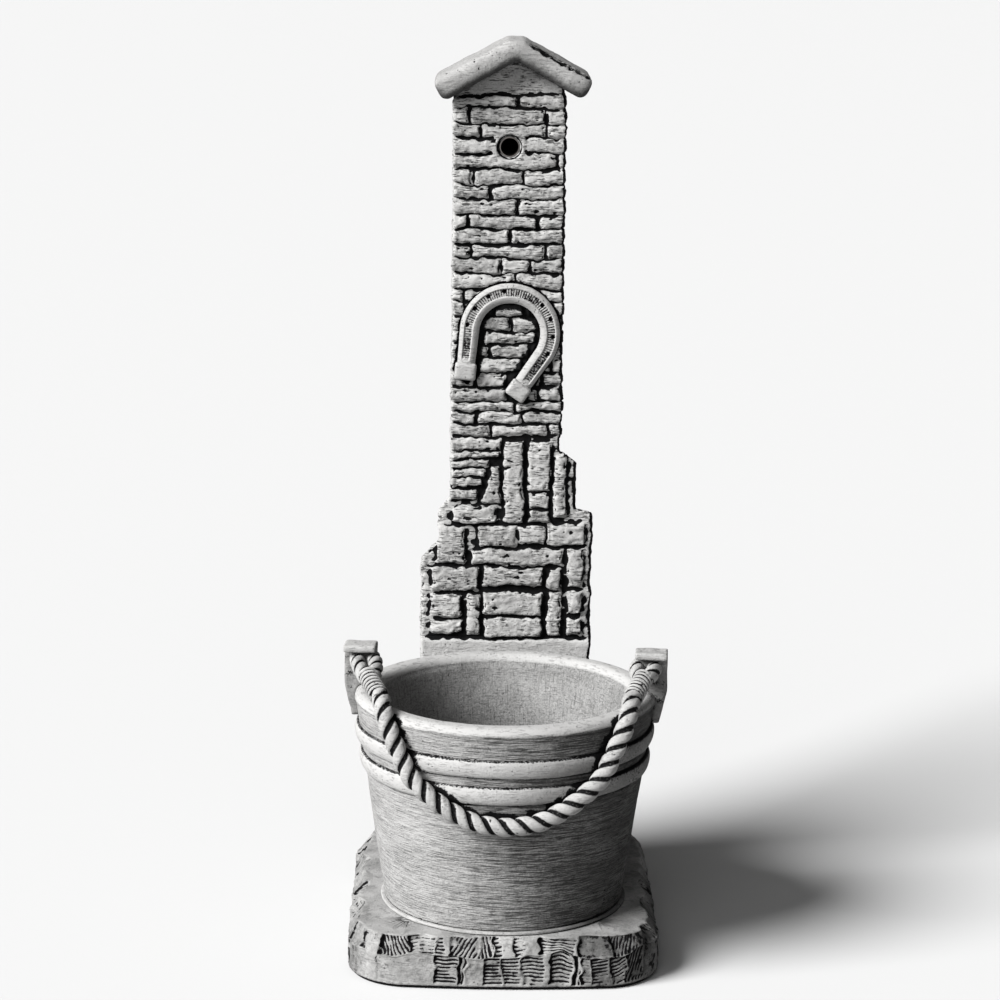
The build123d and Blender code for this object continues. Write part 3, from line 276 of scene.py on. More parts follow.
@dataclass(frozen=True)
class StoneFinish:
    """Antiqued cast stone: a pale casting with a dark wash left in its hollows, and shade painted in where
    the mesh asks for it.
    """

    name: str
    pale: Triple = (0.25, 0.248, 0.244)
    grey: Triple = (0.034, 0.0337, 0.033)
    # Dark colour of the wash in hollows, also used for painted shade.
    wash: Triple = (0.002, 0.002, 0.0021)
    roughness: float = 0.8
    gloss: float = 0.06
    cloud_scale: float = 60.0
    cloud: float = 0.8
    grain_scale: float = 460.0
    grain: float = 0.95
    pit_scale: float = 260.0
    speckle: float = 0.35
    fleck: float = 0.85
    fleck_rate: Triple = (115.0, 115.0, 700.0)
    bump: float = 0.9
    bump_height: float = 0.0014
    brushed: float = 0.0
    axis_y: float = 0.0

    def build(self) -> Paint:
        """Procedural material that reads the mesh's dark wash with painted shade, its tone, which also
        carries painted shade, and its brush.
        """
        material, shader = new_material(self.name)
        place = own_place(material)
        wash, tone, brush = (place.node("ShaderNodeAttribute", output="Fac", attribute_name=key)
                             for key in ("wash", "tone", "brush"))
        cloud = place.noise(self.cloud_scale, 6.0, 0.65)
        grain = place.noise(self.grain_scale, 3.0, 0.7)
        cells = place.node("ShaderNodeTexVoronoi", {"Vector": place, "Scale": self.pit_scale}, "Distance")
        chance = place.noise(110.0, 2.0)
        pit = 1.0 - (cells + (grain - 0.5) * 0.5).step(0.12, 0.28)
        pit = pit * chance.step(0.56, 0.64) * self.speckle
        drawn = place.node("ShaderNodeVectorMath", {0: place, 1: self.fleck_rate}, operation="MULTIPLY")
        fleck = drawn.noise(1.0, 3.0, 0.6).step(0.53, 0.63) * cloud.step(0.36, 0.56) * self.fleck
        lines = self.strokes(place, brush) * self.brushed
        shade = tone + (cloud - 0.5) * self.cloud + (grain - 0.5) * self.grain - lines
        # The dark colour covers both the real wash in hollows and the painted shade that the mesh carries.
        ink = (wash + (grain - 0.5) * 1.2 + (cloud - 0.5) * 0.5).step(0.30, 0.54)
        light = (1.0 - ink) * (1.0 - pit) * (1.0 - fleck)
        stone = shade.step(-0.15, 1.05).mix(self.grey, self.pale)
        relief = grain * 0.5 + cloud * 0.6 - pit * 1.2 - fleck * 0.7 - lines * 0.6
        rough = {"Strength": self.bump, "Distance": self.bump_height, "Height": relief}
        Wire.plug(shader["Base Color"], light.mix(self.wash, stone))
        Wire.plug(shader["Roughness"], self.roughness)
        Wire.plug(shader["Specular IOR Level"], self.gloss)
        Wire.plug(shader["Normal"], place.node("ShaderNodeBump", rough))
        return material

    def strokes(self, place: Wire, brush: Wire) -> Wire:
        """Lines that a stiff brush leaves: level ones where brush is above 0, upright ones below."""
        parts = [place.node("ShaderNodeSeparateXYZ", {"Vector": place}, axis) for axis in "XYZ"]
        turn = place.math("ARCTAN2", parts[0], 0.0 - (parts[1] - self.axis_y))
        level = upright = brush * 0.0
        for stretch, fine, slant in ((3.0, 820.0, 0.006), (6.5, 1250.0, -0.009)):
            height = parts[2] * fine + turn * (slant * fine)
            spot = place.node("ShaderNodeCombineXYZ", {"X": turn * stretch, "Y": height})
            level += spot.noise(1.0, 2.0).step(0.51, 0.63)
            height = parts[2] * 45.0 + turn * 9.0
            spot = place.node("ShaderNodeCombineXYZ", {"X": turn * (fine * 0.1), "Y": height})
            upright += spot.noise(1.0, 2.0).step(0.54, 0.72)
        return level * place.math("MAXIMUM", brush, 0.0) + upright * place.math("MAXIMUM", 0.0 - brush, 0.0)


@dataclass(frozen=True)
class PlainFinish:
    """Plain finish of one colour with a little cloudiness."""

    name: str
    colour: Triple
    metallic: float = 0.0
    roughness: float = 0.5
    cloud: float = 0.2

    def build(self) -> Paint:
        """Procedural material of a machine-made piece."""
        material, shader = new_material(self.name)
        place = own_place(material)
        cloud = place.noise(60.0, 4.0)
        darker = tuple(part * (1 - self.cloud * 2) for part in self.colour)
        Wire.plug(shader["Base Color"], cloud.step(0.3, 0.7).mix(darker, self.colour))
        Wire.plug(shader["Metallic"], self.metallic)
        Wire.plug(shader["Roughness"], cloud * 0.2 + (self.roughness - 0.1))
        return material


# Castings: dense meshes that can be worn, washed and given painted shade

def bake(work: Piece) -> Mesh:
    """Mesh of a working object with its modifiers, which is then removed."""
    bpy.context.view_layer.update()
    graph = bpy.context.evaluated_depsgraph_get()
    mesh = bpy.data.meshes.new_from_object(work.evaluated_get(graph))
    source = work.data
    bpy.data.objects.remove(work)
    (bpy.data.meshes if isinstance(source, Mesh) else bpy.data.curves).remove(source)
    return mesh


def mesh_points(mesh: Mesh) -> Array:
    """Places of a mesh's vertices, in millimetres."""
    points = np.zeros(len(mesh.vertices) * 3)
    mesh.vertices.foreach_get("co", points)
    return points.reshape(-1, 3) / MM


def show_mesh(mesh: Mesh, name: str, finish: Paint, nodes: Sequence[str],
              **values: Array) -> Piece:
    """Link a mesh as a piece of the root body.

    Args:
        mesh: closed mesh in metres.
        name: name of the piece.
        finish: its material.
        nodes: CAD nodes that the piece stands for.
        **values: values per vertex that the finish reads.

    Returns:
        The shown piece.
    """
    for key, numbers in values.items():
        mesh.attributes.new(key, "FLOAT", "POINT").data.foreach_set("value", numbers.astype(np.float32))
    mesh.materials.clear()
    mesh.materials.append(finish)
    piece = bpy.data.objects.new(name, mesh)
    bpy.context.scene.collection.objects.link(piece)
    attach(piece, ROOT)
    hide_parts(*nodes)
    LOG.info("%s: %d faces", name, len(mesh.polygons))
    return piece


def open_loops(quads: Array) -> list[list[int]]:
    """Loops of vertices that close the open edges of some quads."""
    start = quads.reshape(-1)
    end = np.roll(quads, -1, axis=1).reshape(-1)
    size = int(quads.max()) + 1
    free = ~np.isin(start.astype(np.int64) * size + end, end.astype(np.int64) * size + start)
    onward: dict[int, list[int]] = {}
    for first, second in zip(end[free].tolist(), start[free].tolist()):
        onward.setdefault(first, []).append(second)
    loops = []
    while onward:
        here = next(iter(onward))
        loop = []
        while here in onward:
            loop.append(here)
            following = onward[here]
            step = following.pop()
            if not following:
                del onward[here]
            here = step
        if len(loop) > 2:
            loops.append(loop)
    return loops


@dataclass
class Casting:
    """Closed mesh of one casting, in millimetres, with its finish per vertex."""

    points: Array
    quads: Array
    caps: list[list[int]]

    def __post_init__(self) -> None:
        count = len(self.points)
        self.wash, self.brush = np.zeros(count), np.zeros(count)
        self.tone = np.full(count, 0.6)
        self.start = self.quads.reshape(-1)
        self.end = np.roll(self.quads, -1, axis=1).reshape(-1)
        links = np.bincount(self.start, minlength=count) + np.bincount(self.end, minlength=count)
        self.links = np.maximum(links, 1)

    @classmethod
    def loft(cls, rings: Array, closed: bool = False) -> "Casting":
        """Skin over rings of points.

        Args:
            rings: rings by points by 3; each ring is a closed loop.
            closed: join the last ring to the first, or else cap both ends.

        Returns:
            The closed casting.
        """
        count, size = rings.shape[:2]
        index = np.arange(count * size).reshape(count, size)
        ends = [] if closed else [index[0, ::-1].tolist(), index[-1].tolist()]
        upper = np.roll(index, -1, axis=0)
        if not closed:
            index, upper = index[:-1], upper[:-1]
        quads = np.stack([index, np.roll(index, -1, 1), np.roll(upper, -1, 1), upper], axis=-1)
        return cls(rings.reshape(-1, 3).astype(float), quads.reshape(-1, 4), ends)

    @classmethod
    def dense(cls, node: str, voxel: float, rounds: int) -> "Casting":
        """Evenly meshed copy of a CAD node, after some rounds of smoothing."""
        work = bpy.data.objects.new("work", frame["nodes"][node].data.copy())
        bpy.context.scene.collection.objects.link(work)
        weld = work.modifiers.new("weld", "WELD")
        weld.merge_threshold = 0.00001
        remesh = work.modifiers.new("remesh", "REMESH")
        remesh.mode = "VOXEL"
        remesh.voxel_size = voxel * MM
        mesh = bake(work)
        quads = np.zeros(len(mesh.loops), int)
        mesh.loops.foreach_get("vertex_index", quads)
        made = cls(mesh_points(mesh), quads.reshape(-1, 4), [])
        bpy.data.meshes.remove(mesh)
        made.points = made.smoothed(rounds)
        return made

    @classmethod
    def merged(cls, parts: Sequence["Casting"]) -> "Casting":
        """One casting of several closed ones."""
        base, quads, caps = 0, [], []
        for part in parts:
            quads.append(part.quads + base)
            caps += [[index + base for index in cap] for cap in part.caps]
            base += len(part.points)
        whole = cls(np.concatenate([part.points for part in parts]), np.concatenate(quads), caps)
        whole.wash = np.concatenate([part.wash for part in parts])
        whole.tone = np.concatenate([part.tone for part in parts])
        return whole

    def neighbours(self, values: Array) -> Array:
        """Mean over each vertex's neighbours."""
        total = np.empty_like(values)
        for part, column in enumerate(values.T):
            total[:, part] = (np.bincount(self.start, column[self.end], len(column))
                              + np.bincount(self.end, column[self.start], len(column))) / self.links
        return total

    def smoothed(self, rounds: int, share: float = 0.6) -> Array:
        """Points after some rounds of smoothing."""
        points = self.points.copy()
        for _ in range(rounds):
            points += share * (self.neighbours(points) - points)
        return points

    def normals(self) -> Array:
        """Outward unit normal of each vertex."""
        corner = self.points[self.quads]
        face = np.cross(corner[:, 2] - corner[:, 0], corner[:, 3] - corner[:, 1])
        total = np.zeros_like(self.points)
        for part in range(3):
            for side in range(4):
                total[:, part] += np.bincount(self.quads[:, side], face[:, part], len(self.points))
        return total / np.maximum(np.linalg.norm(total, axis=1, keepdims=True), 1e-9)

    def hollow(self, rounds: int) -> Array:
        """How far each vertex lies below its smoothed surroundings, in millimetres."""
        return np.einsum("ij,ij->i", self.smoothed(rounds) - self.points, self.normals())

    def spread(self, values: Array, rounds: int) -> Array:
        """A value per vertex, spread over its surroundings."""
        wide = values[:, None]
        for _ in range(rounds):
            wide = 0.4 * wide + 0.6 * self.neighbours(wide)
        return wide[:, 0]

    def push(self, amount: Array) -> None:
        """Move each vertex along its normal."""
        self.points += self.normals() * amount[:, None]

    def slices(self, levels: Sequence[float]) -> Iterator["Casting"]:
        """Closed castings between these heights, each with its cut capped."""
        middle = self.points[self.quads][:, :, 2].mean(axis=1)
        band = np.searchsorted(np.asarray(levels), middle)
        for number in range(len(levels) + 1):
            used, quads = np.unique(self.quads[band == number], return_inverse=True)
            quads = quads.reshape(-1, 4)
            part = Casting(self.points[used], quads, open_loops(quads))
            part.wash, part.tone, part.brush = self.wash[used], self.tone[used], self.brush[used]
            yield part

    def show(self, name: str, finish: Paint, node: str) -> Piece:
        """Make the Blender object that stands for a CAD node of the root body."""
        mesh = bpy.data.meshes.new(name)
        mesh.from_pydata((self.points * MM).tolist(), [], self.quads.tolist() + self.caps)
        mesh.polygons.foreach_set("use_smooth", np.arange(len(mesh.polygons)) < len(self.quads))
        return show_mesh(mesh, name, finish, [node], wash=self.wash, tone=self.tone, brush=self.brush)


# Column

@dataclass(frozen=True)
class ColumnSizes:
    """How the column's casting is meshed, sliced and worn."""

    voxel: float = 1.3
    ledge: float = 301.5
    gable: float = 918.0
    cuts: tuple[float, ...] = (178.0, 301.5, 441.0, 566.0, 742.0)
    plain_slices: int = 2
    wave: float = 2.3
    fine_wave: float = 1.1
    lean: float = 1.3
    joint: float = 1.2
    chip: float = 1.5
    chisel: float = 0.8
    pit: float = 0.8
    spout_height: float = 858.0
    spout_guard: float = 15.5
    joint_rounds: int = 26


@dataclass
class Column:
    """Column of thin courses over a stepped rubble foot."""

    sizes: ColumnSizes
    finish: Paint
    smooth_finish: Paint
    shoe: Array

    def __post_init__(self) -> None:
        self.front = node_box("column")[0][1]
        self.wavy, self.rough, self.spots = Noise(11), Noise(12), Noise(13)

    def stones(self) -> Iterator[tuple[float, float, float, float]]:
        """Left, right, bottom and top of each stone face of the CAD column."""
        mesh = frame["nodes"]["column"].data
        root: dict[tuple, tuple] = {}

        def top(key: tuple) -> tuple:
            """Corner that stands for all the corners of one face."""
            while root[key] != key:
                key = root[key]
            return key

        for face in mesh.polygons:
            corners = [tuple(np.round(np.array(mesh.vertices[i].co) / MM, 2)) for i in face.vertices]
            if all(abs(corner[1] - self.front) < 0.05 for corner in corners):
                for corner in corners:
                    root.setdefault(corner, corner)
                for corner in corners[1:]:
                    root[top(corner)] = top(corners[0])
        groups: dict[tuple, list[tuple]] = {}
        for corner in root:
            groups.setdefault(top(corner), []).append(corner)
        for members in groups.values():
            low, high = np.min(members, axis=0), np.max(members, axis=0)
            yield low[0], high[0], low[2], high[2]

    def set_stones(self, cast: Casting) -> None:
        """Set each stone a little forward, back or askew, and give it its own tone."""
        chance = np.random.default_rng(5)
        start, joint = cast.points.copy(), self.sizes.joint
        facing = soft_step(start[:, 1], self.front + 4.5, self.front + 1.5)
        for left, right, bottom, top in self.stones():
            out, tip_x, tip_z, tone = chance.uniform(-1, 1, 4)
            inside = ((start[:, 0] > left - joint) & (start[:, 0] < right + joint)
                      & (start[:, 2] > bottom - joint) & (start[:, 2] < top + joint))
            across = (start[inside, 0] - (left + right) / 2) / (right - left)
            up = (start[inside, 2] - (bottom + top) / 2) / (top - bottom)
            shift = self.sizes.lean * (0.6 * out + tip_x * across + 1.1 * tip_z * up)
            cast.points[inside, 1] += shift * facing[inside]
            cast.tone[inside] += 0.24 * tone * facing[inside]

    def wear(self, cast: Casting, start: Array, near: Array, plain: Array) -> Array:
        """Make the joints wavy, chip the edges and rough up the faces.

        Args:
            cast: the casting that is worn.
            start: its points before the stones were set.
            near: share of 1 near the front.
            plain: 0 where the casting has no stones, 1 elsewhere.

        Returns:
            Share of a dent at each vertex.
        """
        sizes, rough = self.sizes, self.rough
        spout = np.hypot(start[:, 0], start[:, 2] - sizes.spout_height)
        free = near * soft_step(spout, sizes.spout_guard, sizes.spout_guard + 12)
        for axis, apart, share in ((0, 0.0, 0.7), (2, 400.0, 1.0)):
            wave = sizes.wave * self.wavy(start + apart, (24, 40, 14))
            wave = wave + sizes.fine_wave * self.wavy(start + apart, 6.0)
            cast.points[:, axis] += wave * free * share
        hollow = cast.hollow(sizes.joint_rounds)
        guard = soft_step(spout, sizes.spout_guard - 1, sizes.spout_guard + 3) * (0.25 + 0.75 * near)
        ridge = soft_step(hollow, -0.15, -0.8)
        cast.push(-sizes.chip * ridge * soft_step(rough(start + 90, 5.0), -0.25, 0.5) * guard * plain)
        face = soft_step(hollow, 0.9, -0.2)
        skin = rough(start, (16, 16, 3.4)) + 0.7 * rough.layers(start + 50, 4.6, 2)
        skin = skin * (0.4 + 0.6 * face) * (0.4 + 0.6 * plain)
        dents = soft_step(self.spots(start, (6.0, 6.0, 3.0)), 0.64, 0.88) * face * plain
        cast.push((sizes.chisel * skin - sizes.pit * dents) * guard)
        return dents

    def painted_shoe_shadow(self, points: Array) -> Array:
        """Painted shadow of the horseshoe on the column, wide within its bow and narrow outside it."""
        flat, shoe = points[:, ::2], self.shoe[::6, ::2]
        middle = shoe.mean(axis=0)
        gap, number = nearest(flat, shoe)
        reach = np.linalg.norm(shoe - middle, axis=1)[number]
        within = np.linalg.norm(flat - middle, axis=1) < reach
        return np.where(within, soft_step(gap, 22.0, 13.0), 0.8 * soft_step(gap, 14.5, 11.5))

    @staticmethod
    def right_edge(points: Array, pitch: float = 3.0) -> Array:
        """Right-hand edge of the casting at each point's height."""
        level = np.floor((points[:, 2] - points[:, 2].min()) / pitch).astype(int)
        edge = np.full(level.max() + 1, -1e9)
        np.maximum.at(edge, level, points[:, 0])
        return edge[level]

    def build(self) -> list[Piece]:
        """Mesh, wear and wash the column, paint shade on its right-hand side and beside the horseshoe, and
        show it in slices.
        """
        sizes = self.sizes
        cast = Casting.dense("column", sizes.voxel, 4)
        start = cast.points.copy()
        self.set_stones(cast)
        near = soft_step(start[:, 1], self.front + 40, self.front + 12)
        gable = soft_step(start[:, 2], sizes.gable - 6, sizes.gable)
        plain = 1 - np.maximum(gable, soft_step(start[:, 2], sizes.ledge + 6, sizes.ledge - 1))
        dents = self.wear(cast, start, near, plain)
        deep = soft_step(cast.hollow(sizes.joint_rounds), 0.2, 0.65)
        joint = cast.spread(deep, 4) + 0.2 * self.rough(start + 20, 3.2)
        wash = soft_step(joint, 0.10, 0.46) + 0.7 * plain * soft_step(cast.hollow(5), 0.2, 0.55)
        wash += 0.15 * dents
        # Painted shadow of the horseshoe on the front faces.
        wash += soft_step(start[:, 1], self.front + 11, self.front + 9) * self.painted_shoe_shadow(start)
        # Painted shade: a dark band along the column's right-hand edge near the front.
        wash += 0.8 * near * soft_step(self.right_edge(start) - start[:, 0], 4.5, 1.5)
        # Painted shade: faces turned to the right get more dark wash and a lower tone.
        right = soft_step(cast.normals()[:, 0], 0.3, 0.75)
        cast.wash = np.clip(wash + 0.5 * right, 0, 1)
        cast.tone += 0.30 + 0.2 * self.wavy(start, (34, 60, 17)) + 0.16 * self.rough(start, (9, 9, 4))
        cast.tone -= 0.4 * right
        pieces = []
        for number, part in enumerate(cast.slices(sizes.cuts)):
            finish = self.smooth_finish if number < sizes.plain_slices else self.finish
            pieces.append(part.show(f"column_{number}", finish, "column"))
        return pieces


# Roof

@dataclass(frozen=True)
class RoofSizes:
    """How the roof is meshed and worn."""

    voxel: float = 1.5
    swell: float = 0.7
    pit: float = 1.3
    torn_edge: float = 2.4


@dataclass
class Roof:
    """Thick rounded gable roof with a torn right-hand top edge."""

    sizes: RoofSizes
    finish: Paint

    def build(self) -> Piece:
        """Mesh, wear and wash the roof, paint shade on its underside, and show it."""
        sizes = self.sizes
        cast = Casting.dense("roof", sizes.voxel, 7)
        low, high = node_box("roof")
        start = cast.points.copy()
        swell, spots = Noise(21), Noise(22)
        normal = cast.normals()
        upper = soft_step(normal[:, 2], 0.25, 0.7)
        edge = upper * soft_step(start[:, 1], low[1] + 16, low[1] + 3)
        ridge = (low[0] + high[0]) / 2
        right = soft_step(start[:, 0], ridge + 10, ridge + 24)
        torn = edge * right
        ragged = upper * right * soft_step(spots.layers(start + 70, 7.0, 2), -0.3, 0.6)
        ragged *= soft_step(start[:, 1], low[1] + 55, low[1] + 12)
        dents = soft_step(spots(start, 5.0), 0.46, 0.72) * (0.35 + 0.5 * edge + 0.5 * torn)
        cast.push(sizes.swell * swell(start, 17) + 0.25 * swell(start + 90, 5.5) - sizes.pit * dents
                  - sizes.torn_edge * torn * np.abs(swell(start, (5.5, 30, 5.5))))
        # Painted shade: faces turned downward, spread wide, get dark wash and a much lower tone.
        under = np.clip(1.3 * cast.spread(soft_step(normal[:, 2], 0.0, -0.6), 50), 0, 1)
        wash = 0.8 * soft_step(cast.hollow(8), 0.10, 0.5) + 0.22 * under
        cast.wash = np.clip(wash + 0.5 * torn + 0.6 * ragged + 0.35 * dents, 0, 1)
        cast.tone += 0.06 + 0.14 * swell(start, 30) - 0.75 * under
        return cast.show("roof_slab", self.finish, "roof")


# Bucket, hoops and bead

def arc(middle: tuple[float, float], radius: float, first: float, last: float, count: int) -> Profile:
    """Points on a round, in radius and height; the angles run from straight outward."""
    return [(middle[0] + radius * math.cos(turn), middle[1] + radius * math.sin(turn))
            for turn in np.linspace(first, last, count)]


@dataclass(frozen=True)
class BucketSizes:
    """Bucket, hoops and bead at its foot."""

    base_radius: float = 130.0
    rim_radius: float = 163.0
    bottom: float = 59.0
    rim: float = 290.0
    wall: float = 27.0
    floor: float = 84.0
    lip: float = 10.0
    cove: float = 14.0
    turns: int = 360
    bead_radius: float = 132.0
    bead_low: float = 55.0
    bead_seat: float = 6.0
    hoop_width: float = 20.0
    hoop_proud: float = 5.5
    hoop_seat: float = 3.0
    axis_gap: float = 0.5

    def radius(self, height: Array | float) -> Array | float:
        """Outer radius of the wall at a height."""
        slope = (self.rim_radius - self.base_radius) / (self.rim - self.bottom)
        return self.base_radius + slope * (height - self.bottom)


@dataclass
class Bucket:
    """Flared bucket with two half-round hoops and a bead at its foot."""

    sizes: BucketSizes
    finish: Paint
    smooth_finish: Paint
    rope: Array

    def __post_init__(self) -> None:
        low, high = node_box("bucket")
        self.axis_y = (low[1] + high[1]) / 2

    def turned(self, profile: Profile, start: float = 0.0) -> Array:
        """Rings round the bucket's axis, one for each radius and height of a profile."""
        rows = np.array(profile)
        turn = np.linspace(0, 2 * math.pi, self.sizes.turns, endpoint=False) + start
        across, back = rows[:, :1] * np.cos(turn), rows[:, :1] * np.sin(turn) + self.axis_y
        return np.stack([across, back, np.broadcast_to(rows[:, 1:], across.shape)], axis=-1)

    def wall(self) -> Profile:
        """Wall section from the axis at the bottom, over the lip, to the axis at the floor."""
        sizes = self.sizes
        lip_level = sizes.rim - sizes.lip
        rows = [(sizes.axis_gap, sizes.bottom), (sizes.base_radius * 0.5, sizes.bottom)]
        rows += [(sizes.radius(height), height) for height in np.linspace(sizes.bottom, lip_level, 110)]
        rows += arc((sizes.rim_radius - sizes.lip, lip_level), sizes.lip, 0, QUARTER, 11)[1:]
        inner = sizes.rim_radius - sizes.wall + sizes.lip
        rows += arc((inner, lip_level), sizes.lip, QUARTER, math.pi, 11)
        rows += [(sizes.radius(height) - sizes.wall, height)
                 for height in np.linspace(lip_level, sizes.floor + sizes.cove, 70)[1:]]
        corner = rows[-1][0] - sizes.cove
        rows += arc((corner, sizes.floor + sizes.cove), sizes.cove, 0, -QUARTER, 8)[1:]
        rows += [(corner * share, sizes.floor) for share in (0.8, 0.5, 0.2)]
        return rows + [(sizes.axis_gap, sizes.floor)]

    def hoop(self, low: float) -> Profile:
        """Half-round section on the wall, closed behind inside the wall."""
        sizes = self.sizes
        rows = []
        for turn in np.linspace(0, math.pi, 17):
            height = low + sizes.hoop_width * (1 - math.cos(turn)) / 2
            rows.append((sizes.radius(height) + sizes.hoop_proud * math.sin(turn) ** 0.8, height))
        behind = sizes.radius(low) - sizes.hoop_seat
        return rows + [(behind, low + sizes.hoop_width), (behind, low)]

    def bead(self) -> Profile:
        """Section of the bead under the bucket, from the axis out and back."""
        sizes = self.sizes
        half = (sizes.bottom - sizes.bead_low) / 2
        seat = sizes.bead_radius - sizes.bead_seat
        rows = [(sizes.axis_gap, sizes.bead_low), (seat, sizes.bead_low)]
        rows += [(sizes.bead_radius + half * math.sin(turn), sizes.bead_low + half - half * math.cos(turn))
                 for turn in np.linspace(0, math.pi, 9)]
        return rows + [(seat, sizes.bottom), (sizes.axis_gap, sizes.bottom)]

    def weather_and_shade(self, cast: Casting, seams: Sequence[float]) -> Casting:
        """Darken the seams at these heights with dark wash, paint the rope's shadow and shade on the
        right-hand side, and darken the inside.
        """
        places = cast.points
        swell = Noise(31)
        reach = np.hypot(places[:, 0], places[:, 1] - self.axis_y)
        outside = soft_step(reach - self.sizes.radius(places[:, 2]), -14, -6)
        for seam in seams:
            cast.wash += 0.55 * outside * soft_step(np.abs(places[:, 2] - seam), 2.4, 0.3)
        # Painted shadow of the rope: a dark ragged band on the wall beside it.
        ragged = nearest(places, self.rope[::3])[0] + 2.5 * swell(places, 5.0)
        cast.wash += 0.9 * soft_step(ragged, 17.5, 11.0)
        # Painted shade: the outside grows darker towards the right-hand side, in the dark wash and the tone.
        right = outside * soft_step(places[:, 0] / reach.clip(1), -0.75, 1.0)
        cast.wash = np.clip(cast.wash + 0.3 * soft_step(right, 0.7, 1.0), 0, 1)
        lip = soft_step(places[:, 2], self.sizes.rim - 9, self.sizes.rim - 5)
        brush = np.where(outside > 0.5, 0.55 + 0.45 * soft_step(right, 0.05, 0.4), -0.3)
        cast.brush = brush * (1 - lip)
        cast.tone += 0.12 * swell(places, (45, 45, 20)) + 0.32 * lip + 0.2
        # The inside is darker; the painted shade on the right lowers the tone as well.
        cast.tone -= 0.3 * (1 - outside) * (1 - lip) + 0.6 * right * (1 - 0.6 * lip)
        cast.push(0.5 * swell(places, 40) + 0.2 * swell(places + 60, 11))
        return cast

    def build(self) -> list[Piece]:
        """Turn the bucket, its hoops and its bead, roughen, wash and shade them, and show them."""
        sizes = self.sizes
        edges = {}
        for node in ("upper_hoop", "lower_hoop"):
            low = node_box(node)[0][2]
            edges[node] = [low, low + sizes.hoop_width]
        seams = [sizes.bottom + 0.5] + sum(edges.values(), [])
        wall = self.weather_and_shade(Casting.loft(self.turned(self.wall(), QUARTER)), seams)
        pieces = [wall.show("bucket_wall", self.finish, "bucket")]
        for node, levels in edges.items():
            rings = self.turned(self.hoop(levels[0])).swapaxes(0, 1)
            band = self.weather_and_shade(Casting.loft(rings[:, ::-1], closed=True), levels)
            band.tone += 0.28
            pieces.append(band.show(f"{node}_band", self.smooth_finish, node))
        bead = self.weather_and_shade(Casting.loft(self.turned(self.bead(), QUARTER)), [sizes.bead_low])
        pieces.append(bead.show("bucket_bead", self.smooth_finish, "bucket_bed"))
        return pieces


# Ears

@dataclass(frozen=True)
class EarSizes:
    """How the ears are meshed and worn."""

    voxel: float = 1.2
    swell: float = 0.5
    head: float = 8.0


@dataclass
class Ears:
    """Two ears on the rim that hook over the rope."""

    sizes: EarSizes
    finish: Paint

    def build(self) -> list[Piece]:
        """Mesh, soften and show both ears."""
        pieces = []
        for seed, node in enumerate(("left_ear", "right_ear"), 41):
            cast = Casting.dense(node, self.sizes.voxel, 6)
            swell = Noise(seed)
            start = cast.points.copy()
            cast.push(self.sizes.swell * swell(start, 12) + 0.2 * swell(start + 30, 4.5))
            head = start[:, 2].max() - self.sizes.head
            below = soft_step(start[:, 2], head, head - 6)
            ragged = below * soft_step(swell(start, 7.0), -0.5, 0.6)
            cast.wash = np.clip(soft_step(cast.hollow(14), 0.25, 0.8) + 0.45 * ragged, 0, 1)
            cast.tone += 0.16 + 0.1 * swell(start, 18) - 0.3 * below
            pieces.append(cast.show(f"{node}_block", self.finish, node))
        return pieces


# Rope

def new_group(name: str, **sockets: str) -> tuple[Tree, dict[str, Wire]]:
    """Geometry tree with these further inputs, and its inputs as wires."""
    tree = bpy.data.node_groups.new(name, "GeometryNodeTree")
    kinds = {"Geometry": "Geometry", **sockets, "Material": "Material"}
    for key, kind in kinds.items():
        tree.interface.new_socket(key, in_out="INPUT", socket_type="NodeSocket" + kind)
    tree.interface.new_socket("Geometry", in_out="OUTPUT", socket_type="NodeSocketGeometry")
    given = tree.nodes.new("NodeGroupInput").outputs
    return tree, {key: Wire(given[key]) for key in kinds}


def end_group(tree: Tree, made: Wire, finish: Wire) -> Tree:
    """Make a geometry tree's result real, give it its material and lead it out."""
    whole = made.node("GeometryNodeRealizeInstances", {"Geometry": made})
    done = made.node("GeometryNodeSetMaterial", {"Geometry": whole, "Material": finish})
    Wire.plug(tree.nodes.new("NodeGroupOutput").inputs[0], done)
    return tree


def sweep(curve: Wire, section: Wire) -> Wire:
    """Closed tube of a section along a curve."""
    inputs = {"Curve": curve, "Profile Curve": section, "Fill Caps": True}
    return curve.node("GeometryNodeCurveToMesh", inputs)


def ring(curve: Wire, corners: int, radius: Wire) -> Wire:
    """Round curve that serves as a section."""
    return curve.node("GeometryNodeCurvePrimitiveCircle", {"Resolution": corners, "Radius": radius})


def rounded(knots: Array, bend: float, step: float = 1.5) -> Array:
    """Line through knots with each corner rounded off.

    Args:
        knots: corners of the line.
        bend: share of the shorter run beside a corner that its bend takes up.
        step: distance between the points returned.

    Returns:
        Evenly spaced points.
    """
    line = [knots[0]]
    for before, corner, after in zip(knots[:-2], knots[1:-1], knots[2:]):
        reach = bend * min(np.linalg.norm(corner - before), np.linalg.norm(after - corner))
        first, last = corner + unit(before - corner) * reach, corner + unit(after - corner) * reach
        for share in np.linspace(0, 1, 9):
            line.append((1 - share) ** 2 * first + 2 * share * (1 - share) * corner + share ** 2 * last)
    points = np.array(line + [knots[-1]])
    return evenly(points, max(int(run_along(points)[-1] / step), 4))


